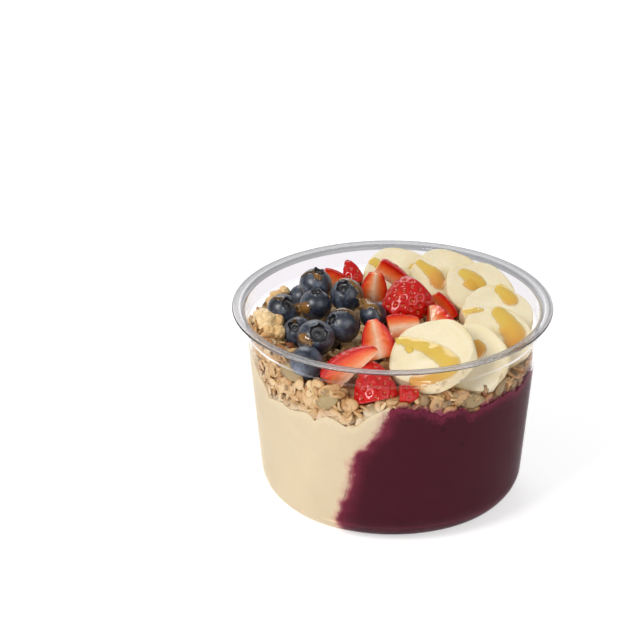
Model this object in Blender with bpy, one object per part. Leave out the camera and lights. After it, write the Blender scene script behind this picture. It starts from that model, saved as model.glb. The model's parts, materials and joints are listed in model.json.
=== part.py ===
"""Acai bowl in a clear round tub: two blends side by side, granola, blueberries, cut strawberries
and banana slices.

The frame has +Z up and its origin on the table under the middle of the tub; the side that faces -Y
is the front. The tables below are in millimetres, and MM turns them into metres.
"""

import math

import bmesh
import bpy
import numpy as np
from mathutils import Matrix, Vector
from mathutils.bvhtree import BVHTree

MM = 0.001
GAP = 0.3  # room left between neighbouring solids

# ---- tub (mm) ------------------------------------------------------------------------------------
RIM_RADIUS = 58.5
TUB_HEIGHT = 74.6
WALL = 0.7
BASE_WALL_RADIUS = 47.0  # where the line of the tapered wall meets the table
WALL_TAPER = 0.0955  # growth of the wall's radius with height
HEEL_RADIUS = 13.0  # big round corner between wall and base
FOOT_INNER_RADIUS = 30.5  # inner edge of the flat standing ring
BASE_LIFT = 0.8  # the middle of the base stands clear of the table
LEDGE_HEIGHT = 66.4  # stacking ledge
LEDGE_STEP = 0.5
LIP_EDGE = 0.7  # thickness of the lip's outer edge
TUB_SEGMENTS = 48

# ---- blends and granola (mm) -----------------------------------------------------------------------
FILL_LEVEL = 52.5
# where the blends stand higher against the wall: x, y, height, spread
SWELLS = ((-51.0, -6.0, 12.0, 9.0), (0.0, -51.0, 4.5, 11.0), (0.0, 10.0, 3.0, 25.0))
# azimuth of the line where the two blends meet on the front wall: (height, degrees)
FRONT_SEAM = ((0.0, -118.0), (20.0, -111.0), (36.0, -107.0), (46.0, -97.0), (60.0, -92.0))
BACK_SEAM = 78.0
SEAM_BOW = 3.0
HEAP_LEVEL = 60.5  # granola on the right
HEAP_RISE = 9.0  # how much higher it lies along the front left wall
# humps of granola: x, y, height, spread
HUMPS = ((-45.5, -10.0, 5.0, 5.5), (-40.5, 25.0, 8.5, 5.0), (-12.0, 2.0, 6.0, 20.0))
GRANOLA_MIN = 1.0  # thinnest layer of granola
ROWS = 20
COLUMNS = 5

# ---- fruit (mm) ------------------------------------------------------------------------------------
BERRY_SEGMENTS = 12
CROWN_RADIUS = 0.36  # share of the blueberry's radius
CROWN_DEPTH = 0.22

# name, centre, diameter, direction of the crown
BLUEBERRIES = (
    ("blueberry_01", (-28.0, 21.5, 73.0), 12.4, (0.20, -0.15, 1.00)),
    ("blueberry_02", (-16.5, 10.0, 74.0), 12.4, (-0.15, -0.60, 0.85)),
    ("blueberry_03", (-28.0, 8.0, 71.0), 11.8, (0.05, -0.10, 1.00)),
    ("blueberry_04", (-40.0, 5.5, 70.0), 11.8, (0.45, -0.70, 0.60)),
    ("blueberry_05", (-18.0, -10.0, 70.5), 12.8, (-0.75, -0.35, 0.60)),
    ("blueberry_06", (-7.0, -2.0, 71.0), 10.0, (0.30, 0.80, 0.20)),
    ("blueberry_07", (-3.0, 7.5, 67.0), 10.8, (0.80, 0.40, -0.20)),
    ("blueberry_08", (-34.5, -9.5, 68.0), 11.4, (-0.30, -0.50, 0.80)),
    ("blueberry_09", (-28.0, -22.5, 71.5), 13.6, (0.20, -0.75, 0.65)),
    ("blueberry_10", (-31.0, -34.0, 67.0), 12.4, (-0.50, 0.20, -0.60)),
    ("blueberry_11", (-33.0, 28.0, 64.5), 10.4, (0.10, 0.90, 0.30)),
    ("blueberry_12", (-23.0, -0.5, 62.5), 10.6, (0.60, 0.30, -0.60)),
)

# name, centre, whole berry's length and diameter, wedge angle (deg), span kept (share of the
# length, from the stalk end), direction of the tip, direction the skin faces
STRAWBERRIES = (
    ("strawberry_01", (-21.0, 35.0, 69.0), 16, 14, 100, (0.20, 0.80), (0.9, 0.1, -0.2), (-0.5, 0.7, 0.5)),
    ("strawberry_02", (-12.5, 42.0, 68.5), 15, 11, 100, (0.35, 1.00), (-0.3, 0.4, 0.9), (0.1, -0.8, 0.6)),
    ("strawberry_03", (-7.0, 20.0, 71.5), 18, 12, 150, (0.25, 0.90), (0.1, 0.3, 0.9), (-0.3, -0.8, 0.5)),
    ("strawberry_04", (3.5, 27.5, 74.0), 24, 14, 80, (0.10, 0.85), (0.8, -0.2, -0.5), (0.5, 0.5, 0.7)),
    ("strawberry_05", (6.0, 6.0, 73.0), 21, 18, 160, (0.08, 0.82), (-0.6, -0.5, -0.4), (-0.1, -0.7, 0.7)),
    ("strawberry_06", (19.0, 12.0, 67.5), 18, 15, 90, (0.20, 0.80), (-0.4, 0.3, 0.8), (0.7, 0.7, 0.2)),
    ("strawberry_07", (19.0, -4.0, 67.5), 21, 21, 110, (0.35, 0.95), (-0.1, 0.5, 0.8), (0.7, 0.6, -0.3)),
    ("strawberry_08", (-4.0, -24.0, 71.0), 18, 13, 150, (0.15, 0.95), (-0.2, 0.4, 0.9), (0.1, 0.9, -0.5)),
    ("strawberry_09", (4.0, -11.0, 68.5), 16, 14, 150, (0.15, 0.85), (0.8, 0.1, 0.1), (0.0, -0.5, 0.9)),
    ("strawberry_10", (-15.5, -37.0, 67.0), 24, 20, 100, (0.10, 0.95), (0.7, 0.1, 0.7), (-0.6, 0.6, 0.4)),
    ("strawberry_11", (-6.0, -46.0, 64.0), 20, 20, 110, (0.30, 1.00), (-0.2, 0.4, 0.9), (0.0, -1.0, 0.2)),
    ("strawberry_12", (4.0, -48.5, 62.0), 9, 8, 120, (0.15, 0.90), (0.9, 0.0, 0.1), (0.0, -0.9, 0.4)),
)

# name, centre of the upper face, radius, thickness, direction of the face, turn (deg)
BANANA_SLICES = (
    ("banana_slice_1", (12.0, -35.0, 71.0), 16.0, 5.5, (-0.26, -0.34, 0.90), 20),
    ("banana_slice_2", (27.2, -29.0, 67.5), 14.2, 5.5, (0.00, -0.56, 0.83), 75),
    ("banana_slice_3", (37.2, -12.0, 68.0), 13.2, 5.5, (0.10, -0.42, 0.90), 130),
    ("banana_slice_4", (39.0, 4.5, 68.0), 13.8, 5.5, (0.19, -0.44, 0.88), 10),
    ("banana_slice_5", (32.6, 22.0, 70.0), 13.4, 5.5, (0.18, -0.40, 0.90), 50),
    ("banana_slice_6", (21.0, 32.8, 72.0), 13.8, 5.5, (0.12, -0.42, 0.90), 95),
    ("banana_slice_7", (2.0, 38.8, 69.5), 13.2, 5.5, (0.10, -0.42, 0.90), 30),
)
BANANA_SEGMENTS = 20
BANANA_FACETS = 0.025  # a slice is faintly five-sided

# name: base colour, roughness, transmission
MATERIALS = {
    "clear_plastic": ((0.93, 0.94, 0.95), 0.06, 0.95),
    "cream_blend": ((0.83, 0.70, 0.48), 0.45, 0.0),
    "acai_blend": ((0.075, 0.014, 0.024), 0.45, 0.0),
    "granola": ((0.55, 0.34, 0.15), 0.70, 0.0),
    "blueberry_skin": ((0.035, 0.045, 0.085), 0.45, 0.0),
    "strawberry_flesh": ((0.62, 0.05, 0.03), 0.30, 0.0),
    "banana_flesh": ((0.86, 0.76, 0.50), 0.45, 0.0),
}


# ---- general helpers -------------------------------------------------------------------------------
def clear_scene():
    for obj in list(bpy.data.objects):
        bpy.data.objects.remove(obj, do_unlink=True)


def material(name):
    """The named material, made on first use."""
    existing = bpy.data.materials.get(name)
    if existing:
        return existing
    colour, roughness, transmission = MATERIALS[name]
    made = bpy.data.materials.new(name)
    made.use_nodes = True
    shader = made.node_tree.nodes["Principled BSDF"]
    shader.inputs["Base Color"].default_value = (*colour, 1.0)
    shader.inputs["Roughness"].default_value = roughness
    shader.inputs["Transmission Weight"].default_value = transmission
    made.diffuse_color = (*colour, 1.0)
    return made


def add_object(name, bm, material_name, matrix=None):
    """Turn a bmesh in mm into a smooth-shaded object in metres, placed by a matrix in mm."""
    bmesh.ops.recalc_face_normals(bm, faces=bm.faces)
    for vert in bm.verts:
        vert.co *= MM
    for face in bm.faces:
        face.smooth = True
    mesh = bpy.data.meshes.new(name)
    bm.to_mesh(mesh)
    bm.free()
    mesh.materials.append(material(material_name))
    obj = bpy.data.objects.new(name, mesh)
    bpy.context.collection.objects.link(obj)
    if matrix is not None:
        placed = matrix.copy()
        placed.translation = placed.translation * MM
        obj.matrix_world = placed
    return obj


def lathe(profile, segments, outline=None):
    """Turn a profile of (radius, height) about Z. Its two ends lie on the axis.

    outline(angle) scales the radius round the axis.
    """
    bm = bmesh.new()
    rings = []
    for radius, height in profile:
        if radius == 0.0:
            rings.append([bm.verts.new((0.0, 0.0, height))])
            continue
        ring = []
        for i in range(segments):
            angle = 2.0 * math.pi * i / segments
            r = radius * (outline(angle) if outline else 1.0)
            ring.append(bm.verts.new((r * math.cos(angle), r * math.sin(angle), height)))
        rings.append(ring)
    for lower, upper in zip(rings, rings[1:]):
        for i in range(segments):
            j = (i + 1) % segments
            corners = [lower[i % len(lower)], lower[j % len(lower)],
                       upper[j % len(upper)], upper[i % len(upper)]]
            unique = list(dict.fromkeys(corners))
            bm.faces.new(unique)
    return bm


def facing(direction, turn=0.0):
    """Rotation that takes +Z to a direction after a turn about +Z (deg)."""
    z = Vector(direction).normalized()
    return z.to_track_quat("Z", "Y").to_matrix().to_4x4() @ Matrix.Rotation(math.radians(turn), 4, "Z")


# ---- tub -------------------------------------------------------------------------------------------
def heel_centre():
    slope = math.atan(WALL_TAPER)
    return BASE_WALL_RADIUS + WALL_TAPER * HEEL_RADIUS - HEEL_RADIUS / math.cos(slope), HEEL_RADIUS


def outer_wall(z):
    return BASE_WALL_RADIUS + WALL_TAPER * z + (LEDGE_STEP if z > LEDGE_HEIGHT else 0.0)


def inner_wall(z, clearance=0.0):
    """Inner radius of the tub at a height, round corner included, less a clearance.

    The small step outwards at the ledge isn't counted.
    """
    centre_r, centre_z = heel_centre()
    corner = HEEL_RADIUS - WALL - clearance
    if z < centre_z * 0.9:
        return centre_r + math.sqrt(max(corner ** 2 - (centre_z - z) ** 2, 0.0))
    return BASE_WALL_RADIUS + WALL_TAPER * z - WALL - clearance


def tub_profile():
    """Wall section from the middle of the underside, round the lip, to the middle of the floor."""
    centre_r, centre_z = heel_centre()
    slope = math.atan(WALL_TAPER)
    neck = TUB_HEIGHT - 1.7
    angles = [-math.pi / 2 + (math.pi / 2 - slope) * i / 6 for i in range(7)]
    outside = [(0.0, BASE_LIFT), (FOOT_INNER_RADIUS - BASE_LIFT, BASE_LIFT), (FOOT_INNER_RADIUS, 0.0)]
    for a in angles:
        outside.append((centre_r + HEEL_RADIUS * math.cos(a), centre_z + HEEL_RADIUS * math.sin(a)))
    ledge = [(BASE_WALL_RADIUS + WALL_TAPER * LEDGE_HEIGHT, LEDGE_HEIGHT),
             (outer_wall(LEDGE_HEIGHT + 0.5), LEDGE_HEIGHT + 0.5)]
    lip = [
        (outer_wall(neck), neck),
        (outer_wall(neck) + 0.7, TUB_HEIGHT - 0.8),
        (RIM_RADIUS - 0.3, TUB_HEIGHT - LIP_EDGE - 0.1),
        (RIM_RADIUS, TUB_HEIGHT - LIP_EDGE + 0.1),
        (RIM_RADIUS, TUB_HEIGHT - 0.2),
        (RIM_RADIUS - 0.3, TUB_HEIGHT),
        (outer_wall(neck) + 0.9, TUB_HEIGHT),
        (outer_wall(neck) - 0.2, TUB_HEIGHT - 0.4),
        (outer_wall(neck) - WALL, neck),
    ]
    inside = [(r - WALL, z) for r, z in reversed(ledge)]
    shell = HEEL_RADIUS - WALL
    for a in reversed(angles):
        inside.append((centre_r + shell * math.cos(a), centre_z + shell * math.sin(a)))
    inside += [(FOOT_INNER_RADIUS + 0.2, WALL), (FOOT_INNER_RADIUS - BASE_LIFT, BASE_LIFT + WALL),
               (0.0, BASE_LIFT + WALL)]
    return outside + ledge + lip + inside


# ---- fruit -----------------------------------------------------------------------------------------
class Fruit:
    """One piece of fruit: a mesh about its own centre, a rotation and a place."""

    def __init__(self, name, bm, material_name, rotation, centre):
        self.name = name
        self.bm = bm
        self.material_name = material_name
        self.rotation = rotation
        self.centre = Vector(centre)
        self.points = np.array([rotation @ v.co for v in bm.verts])
        bm.normal_update()
        bm.verts.index_update()
        self.flats = [np.array(rotation.to_3x3() @ f.normal) for f in bm.faces if f.calc_area() > 12.0]

    def matrix(self):
        return Matrix.Translation(self.centre) @ self.rotation


def blueberry(name, centre, diameter, crown):
    """A slightly flattened ball with a shallow round crown at one pole."""
    radius = diameter / 2
    profile = [(0.0, -radius * 0.96)]
    for i in range(1, 6):
        angle = -math.pi / 2 + (math.pi / 2 + math.acos(CROWN_RADIUS + 0.08)) * i / 5
        profile.append((radius * math.cos(angle), radius * math.sin(angle) * 0.96))
    profile.append((radius * CROWN_RADIUS, radius * 0.88))
    profile.append((radius * CROWN_RADIUS * 0.72, radius * (0.88 - CROWN_DEPTH)))
    profile.append((0.0, radius * (0.90 - CROWN_DEPTH)))
    return Fruit(name, lathe(profile, BERRY_SEGMENTS), "blueberry_skin", facing(crown), centre)


def strawberry(name, centre, length, diameter, wedge, span, tip, skin):
    """A wedge of a heart-shaped berry, cut along its axis and across it at both ends of the span."""
    levels = (0.0, 0.06, 0.18, 0.36, 0.56, 0.76, 0.90, 1.0)
    profile = []
    for t in levels:
        share = 1.67 * t ** 0.25 * (1.0 - t) ** 0.6
        profile.append((diameter / 2 * share, length * t))
    bm = lathe(profile, 16)
    half = math.radians(wedge / 2)
    cuts = [((0, 0, length * span[0]), (0, 0, -1)),
            ((0, 0, 0), (-math.sin(half), math.cos(half), 0)),
            ((0, 0, 0), (-math.sin(half), -math.cos(half), 0))]
    if span[1] < 1.0:
        cuts.append(((0, 0, length * span[1]), (0, 0, 1)))
    for point, normal in cuts:
        cut = bmesh.ops.bisect_plane(bm, geom=bm.verts[:] + bm.edges[:] + bm.faces[:], dist=0.001,
                                     plane_co=point, plane_no=normal, clear_outer=True)
        edges = [e for e in cut["geom_cut"] if isinstance(e, bmesh.types.BMEdge)]
        bmesh.ops.holes_fill(bm, edges=edges)
    bmesh.ops.recalc_face_normals(bm, faces=bm.faces)
    z = Vector(tip).normalized()
    x = Vector(skin)
    x = (x - z * x.dot(z)).normalized()
    rotation = Matrix((x, z.cross(x), z)).transposed().to_4x4()
    turned = [rotation @ v.co for v in bm.verts]
    middle = Vector([(max(p[i] for p in turned) + min(p[i] for p in turned)) / 2 for i in range(3)])
    bmesh.ops.translate(bm, verts=bm.verts, vec=-(rotation.inverted() @ middle))
    return Fruit(name, bm, "strawberry_flesh", rotation, centre)


def banana_slice(name, centre, radius, thickness, face, turn):
    """A round slice with soft edges; its mesh hangs below the middle of the upper face."""
    soft = 0.9
    profile = [(0.0, -thickness), (radius - 1.4 * soft, -thickness), (radius - 0.2, -thickness + soft),
               (radius, -soft), (radius - 0.6 * soft, 0.0), (0.0, 0.0)]
    bm = lathe(profile, BANANA_SEGMENTS, lambda a: 1.0 + BANANA_FACETS * (math.cos(5 * a) - 1.0))
    return Fruit(name, bm, "banana_flesh", facing(face, turn), centre)


def settle(fruit, rounds=400):
    """Ease pieces apart until every pair, and the wall, has a gap to its neighbours."""
    directions = []
    for i in range(240):
        height = 1.0 - (i + 0.5) / 120.0
        angle = i * math.pi * (3.0 - math.sqrt(5.0))
        ring = math.sqrt(max(1.0 - height * height, 0.0))
        directions.append((ring * math.cos(angle), ring * math.sin(angle), height))
    for piece in fruit:
        directions.extend(tuple(n) for n in piece.flats)
    directions = np.array(directions)
    directions = np.concatenate([directions, -directions])
    count = len(directions) // 2
    opposite = np.concatenate([np.arange(count, 2 * count), np.arange(count)])
    reach = np.array([(piece.points @ directions.T).max(axis=0) for piece in fruit])
    centres = np.array([piece.centre for piece in fruit])
    clearance = GAP + 0.05
    for _ in range(rounds):
        moved = 0.0
        shift = np.zeros_like(centres)
        for i in range(len(fruit)):
            for j in range(i + 1, len(fruit)):
                apart = centres[j] - centres[i]
                if np.dot(apart, apart) > 36.0 ** 2:
                    continue
                overlap = reach[i] + reach[j][opposite] - directions @ apart
                k = int(overlap.argmin())
                if overlap[k] > -clearance:
                    push = directions[k] * (overlap[k] + clearance) / 2
                    shift[i] -= push
                    shift[j] += push
                    moved = max(moved, overlap[k] + clearance)
        for i, piece in enumerate(fruit):
            points = piece.points + centres[i]
            radii = np.hypot(points[:, 0], points[:, 1])
            limit = np.array([inner_wall(z, clearance) for z in points[:, 2]])
            worst = int((radii - limit).argmax())
            excess = radii[worst] - limit[worst]
            if excess > 0.0:
                shift[i, :2] -= points[worst, :2] / radii[worst] * excess
                moved = max(moved, excess)
            low = FILL_LEVEL + GRANOLA_MIN - 1.0 - points[:, 2].min()
            if low > 0.0:
                shift[i, 2] += low
        centres += shift * 0.7
        if moved < 0.01:
            break
    for piece, centre in zip(fruit, centres):
        piece.centre = Vector(centre)
    return moved


# ---- blends and granola ----------------------------------------------------------------------------
def front_seam(z):
    """Azimuth (deg) of the front end of the seam between the blends at a height."""
    for (z0, a0), (z1, a1) in zip(FRONT_SEAM, FRONT_SEAM[1:]):
        if z <= z1:
            return a0 + (a1 - a0) * (z - z0) / (z1 - z0)
    return FRONT_SEAM[-1][1]


def column(row, across, z, side=0.0):
    """Plan position of a grid line at a height.

    row runs 0 (front) to 1 (back); across runs -1 (left wall), 0 (seam), 1 (right wall). side
    shifts the seam by half a gap towards one blend.
    """
    radius = inner_wall(z, GAP)
    half_gap = math.degrees(GAP / 2 / radius) * side
    front = front_seam(z) + half_gap
    back = BACK_SEAM - half_gap
    if across < 0.0:
        wall_angle = math.radians(front + row * (back - 360.0 - front))
    else:
        wall_angle = math.radians(front + row * (back - front))
    wall = Vector((math.cos(wall_angle), math.sin(wall_angle))) * radius
    ends = [Vector((math.cos(math.radians(a)), math.sin(math.radians(a)))) * radius for a in (front, back)]
    seam = ends[0].lerp(ends[1], row)
    seam.x += SEAM_BOW * math.sin(2.0 * math.pi * row) * math.sin(math.pi * row)
    return seam.lerp(wall, abs(across))


def mounds(shapes, x, y):
    """Height that soft round mounds add at a point."""
    return sum(height * math.exp(-((x - cx) ** 2 + (y - cy) ** 2) / (2.0 * spread ** 2))
               for cx, cy, height, spread in shapes)


def blend_level(x, y):
    return FILL_LEVEL + mounds(SWELLS, x, y)


def heap_level(x, y):
    towards_left = min(max((-0.90 * x - 0.45 * y - 32.0) / 18.0, 0.0), 1.0)
    return HEAP_LEVEL + HEAP_RISE * towards_left + mounds(HUMPS, x, y)


def granola_tops(fruit):
    """Heights of the heap's upper grid, lowered to pass under every piece of fruit."""
    rows = [i / ROWS for i in range(ROWS + 1)]
    lines = [i / COLUMNS for i in range(-COLUMNS, COLUMNS + 1)]
    trees = []
    for piece in fruit:
        matrix = piece.matrix()
        grown = [matrix @ (v.co + v.normal * (GAP + 0.2)) for v in piece.bm.verts]
        trees.append(BVHTree.FromPolygons(grown, [[v.index for v in f.verts] for f in piece.bm.faces]))
    heights = {}
    for i, row in enumerate(rows):
        for j, across in enumerate(lines):
            x, y = column(row, across, 62.0)
            z = heap_level(x, y)
            for tree in trees:
                hit = tree.ray_cast(Vector((x, y, 30.0)), Vector((0, 0, 1)))[0]
                if hit is not None:
                    z = min(z, hit.z)
            heights[i, j] = z
    cells = [(i, j) for i in range(len(rows) - 1) for j in range(len(lines) - 1)]
    for _ in range(60):
        keys = list(heights)
        place = {key: n for n, key in enumerate(keys)}
        points = [Vector((*column(rows[i], lines[j], heights[i, j]), heights[i, j])) for i, j in keys]
        faces = []
        for i, j in cells:
            a, b, c, d = (i, j), (i, j + 1), (i + 1, j + 1), (i + 1, j)
            faces += [[place[a], place[b], place[c]], [place[a], place[c], place[d]],
                      [place[a], place[b], place[d]], [place[b], place[c], place[d]]]
        surface = BVHTree.FromPolygons(points, faces)
        touched = set()
        for tree in trees:
            for face_index, _other in surface.overlap(tree):
                touched.update(faces[face_index])
        if not touched:
            break
        for n in touched:
            heights[keys[n]] -= 0.4
    for i in (0, ROWS):  # all lines meet in one point at each end of the seam
        lowest = min(heights[i, j] for j in range(len(lines)))
        for j in range(len(lines)):
            heights[i, j] = lowest
    return rows, lines, heights


def grid_solid(name, rows, lines, top, bottom, side, levels, material_name):
    """A closed solid on the shared grid between two height maps, with wall levels in between."""
    bm = bmesh.new()

    def vert(i, j, z):
        x, y = column(rows[i], lines[j], z, side)
        return bm.verts.new((x, y, z))

    last = len(rows) - 1
    edge = len(lines) - 1
    upper = {(i, j): vert(i, j, top[i, j]) for i in range(len(rows)) for j in range(len(lines))}
    lower = {(i, j): vert(i, j, bottom[i, j]) for i in range(len(rows)) for j in range(len(lines))}
    for grid in (upper, lower):
        for i in range(last):
            for j in range(edge):
                bm.faces.new((grid[i, j], grid[i, j + 1], grid[i + 1, j + 1], grid[i + 1, j]))
    border = [(i, 0) for i in range(last)] + [(last, j) for j in range(edge)]
    border += [(i, edge) for i in range(last, 0, -1)] + [(0, j) for j in range(edge, 0, -1)]
    loops = [[lower[key] for key in border]]
    for level in levels:
        loops.append([vert(i, j, level) for i, j in border])
    loops.append([upper[key] for key in border])
    for below, above in zip(loops, loops[1:]):
        for n in range(len(border)):
            m = (n + 1) % len(border)
            bm.faces.new((below[n], below[m], above[m], above[n]))
    bmesh.ops.remove_doubles(bm, verts=bm.verts, dist=0.0005)
    bmesh.ops.triangulate(bm, faces=bm.faces)
    return add_object(name, bm, material_name)


def build():
    clear_scene()
    add_object("tub", lathe(tub_profile(), TUB_SEGMENTS), "clear_plastic")
    fruit = [blueberry(*row) for row in BLUEBERRIES]
    fruit += [strawberry(*row) for row in STRAWBERRIES]
    fruit += [banana_slice(*row) for row in BANANA_SLICES]
    settle(fruit)

    rows, lines, tops = granola_tops(fruit)
    floor = {}
    for i, row in enumerate(rows):
        for j, across in enumerate(lines):
            x, y = column(row, across, FILL_LEVEL)
            floor[i, j] = min(blend_level(x, y), tops[i, j] - GAP - GRANOLA_MIN)
    above_floor = {key: z + GAP for key, z in floor.items()}
    grid_solid("granola", rows, lines, tops, above_floor, 0.0, (), "granola")

    base = BASE_LIFT + WALL + GAP
    levels = (3.0, 6.0, 11.0, 20.0, 36.0, 46.0)
    for name, side, first, material_name in (("cream_blend", -1.0, 0, "cream_blend"),
                                             ("acai_blend", 1.0, COLUMNS, "acai_blend")):
        part = lines[first:first + COLUMNS + 1]
        top = {(i, j): floor[i, j + first] for i in range(len(rows)) for j in range(len(part))}
        flat = {key: base for key in top}
        grid_solid(name, rows, part, top, flat, side, levels, material_name)

    for piece in fruit:
        add_object(piece.name, piece.bm, piece.material_name, piece.matrix())


build()
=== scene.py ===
"""Dresses the acai bowl: clear tub, two blends, loose granola, berries, banana slices and honey.

Lengths are in metres; MM turns the millimetre figures below into metres. The frame's axes hold: +Z
is up, the origin lies on the table under the middle of the tub, and -Y is the front.
"""

import json
import math
import random

import bmesh
import bpy
import numpy as np
from bpy.props import FloatProperty, FloatVectorProperty, IntProperty, PointerProperty
from mathutils import Matrix, Vector, noise
from mathutils.bvhtree import BVHTree
from mathutils.kdtree import KDTree

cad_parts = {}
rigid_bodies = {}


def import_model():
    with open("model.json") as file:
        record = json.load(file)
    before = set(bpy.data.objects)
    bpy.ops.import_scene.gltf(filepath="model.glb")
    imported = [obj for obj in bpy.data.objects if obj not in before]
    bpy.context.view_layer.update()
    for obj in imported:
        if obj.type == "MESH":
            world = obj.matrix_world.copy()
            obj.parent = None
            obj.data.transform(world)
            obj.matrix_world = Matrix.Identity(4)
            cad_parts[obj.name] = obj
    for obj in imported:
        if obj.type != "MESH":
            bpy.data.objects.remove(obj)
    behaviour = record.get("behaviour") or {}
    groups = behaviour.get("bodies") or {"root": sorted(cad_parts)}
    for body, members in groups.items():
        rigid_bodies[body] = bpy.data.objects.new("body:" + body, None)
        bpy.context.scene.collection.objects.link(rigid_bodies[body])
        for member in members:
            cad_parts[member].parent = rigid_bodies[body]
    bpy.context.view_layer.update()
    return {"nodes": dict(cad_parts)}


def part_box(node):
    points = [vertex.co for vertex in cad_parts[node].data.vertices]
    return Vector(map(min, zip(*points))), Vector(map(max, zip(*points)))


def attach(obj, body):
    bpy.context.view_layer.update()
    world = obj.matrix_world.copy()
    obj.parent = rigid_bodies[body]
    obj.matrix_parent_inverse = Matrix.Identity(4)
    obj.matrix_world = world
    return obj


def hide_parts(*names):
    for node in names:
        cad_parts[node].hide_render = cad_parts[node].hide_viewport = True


bl_info = {
    "name": "Acai bowl dresser",
    "version": (1, 0, 0),
    "blender": (4, 5, 0),
    "location": "3D View > Sidebar > Acai bowl",
    "description": "Builds the detailed pieces of an acai bowl around its solids",
    "category": "Object",
}

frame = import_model()

MM = 0.001
TUB_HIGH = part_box("tub")[1]
RIM_RADIUS = TUB_HIGH.x
TUB_HEIGHT = TUB_HIGH.z
WALL = 0.7 * MM
BASE_WALL_RADIUS = 47.0 * MM
WALL_TAPER = 0.0955
HEEL_RADIUS = 13.0 * MM
FOOT_INNER_RADIUS = 30.5 * MM
BASE_LIFT = 0.8 * MM
LEDGE_HEIGHT = 66.4 * MM
LEDGE_STEP = 0.5 * MM
MERGE = 1e-6  # points closer than this (m) are one
SOLID_MERGE = 2e-6  # the same for a solid's loose triangles
HIGH_ABOVE = 0.2  # height (m) from which rays are dropped
BERRY_VOXEL = 0.30 * MM
CORE_VOXEL = 0.75 * MM
BLUEBERRY_SEED, STRAWBERRY_SEED, BANANA_SEED, GRANOLA_SEED = 40, 80, 120, 7

# whole berry's length and diameter (mm), wedge angle (deg), span kept (share of the length, from
# the stalk end), direction of the tip, direction the skin faces
STRAWBERRY_CUTS = {
    "strawberry_01": (16, 14, 100, (0.20, 0.80), (0.9, 0.1, -0.2), (-0.5, 0.7, 0.5)),
    "strawberry_02": (15, 11, 100, (0.35, 1.00), (-0.3, 0.4, 0.9), (0.1, -0.8, 0.6)),
    "strawberry_03": (18, 12, 150, (0.25, 0.90), (0.1, 0.3, 0.9), (-0.1, 0.8, -0.5)),
    "strawberry_04": (24, 14, 80, (0.10, 0.85), (0.8, -0.2, -0.5), (0.5, 0.5, 0.7)),
    "strawberry_05": (21, 18, 160, (0.08, 0.82), (-0.6, -0.5, -0.4), (-0.1, -0.7, 0.7)),
    "strawberry_06": (18, 15, 90, (0.20, 0.80), (-0.4, 0.3, 0.8), (0.7, 0.7, 0.2)),
    "strawberry_07": (21, 21, 110, (0.35, 0.95), (-0.1, 0.5, 0.8), (0.7, 0.6, -0.3)),
    "strawberry_08": (18, 13, 150, (0.15, 0.95), (-0.2, 0.4, 0.9), (0.1, 0.9, -0.5)),
    "strawberry_09": (16, 14, 150, (0.15, 0.85), (0.8, 0.1, 0.1), (0.0, 0.6, -0.8)),
    "strawberry_10": (24, 20, 100, (0.10, 0.95), (0.7, 0.1, 0.7), (-0.6, 0.6, 0.4)),
    "strawberry_11": (20, 20, 110, (0.30, 1.00), (-0.2, 0.4, 0.9), (0.0, -1.0, 0.2)),
    "strawberry_12": (9, 8, 120, (0.15, 0.90), (0.9, 0.0, 0.1), (0.0, -0.9, 0.4)),
}
# azimuth of the line where the blends meet on the front wall: (height in mm, degrees)
FRONT_SEAM = ((0.0, -118.0), (20.0, -111.0), (36.0, -107.0), (46.0, -97.0), (60.0, -92.0))


def named(prefix):
    return sorted(name for name in frame["nodes"] if name.startswith(prefix))


# ---- sizes and colours a user may change -----------------------------------------------------------
class BowlSizes(bpy.types.PropertyGroup):
    """Sizes and amounts of the pieces."""
    flake_count: IntProperty(name="Fullness", default=100, min=20, max=150,
                             description="How thickly loose bits cover the heap (percent)")
    flake_length: FloatProperty(name="Oat flake length", description="Longest rolled oat",
                                default=8.2 * MM, unit="LENGTH")
    seed_length: FloatProperty(name="Strawberry seed length", description="Length of one seed",
                               default=1.05 * MM, unit="LENGTH")
    honey_height: FloatProperty(name="Honey height", description="How proud a strand of honey stands",
                                default=0.55 * MM, unit="LENGTH")


def food_colour(name, default):
    return FloatVectorProperty(name=name, description="Colour of the " + name.lower(), subtype="COLOR",
                               default=default, min=0, max=1)


class BowlColours(bpy.types.PropertyGroup):
    """Main colours of the food."""
    cream: food_colour("Pale blend", (0.67, 0.555, 0.375))
    acai: food_colour("Acai blend", (0.054, 0.005, 0.013))
    oat: food_colour("Toasted oats", (0.64, 0.42, 0.20))
    blueberry: food_colour("Blueberry skin", (0.010, 0.014, 0.026))
    strawberry: food_colour("Strawberry skin", (0.56, 0.004, 0.003))
    banana: food_colour("Banana flesh", (0.97, 0.87, 0.64))


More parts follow.
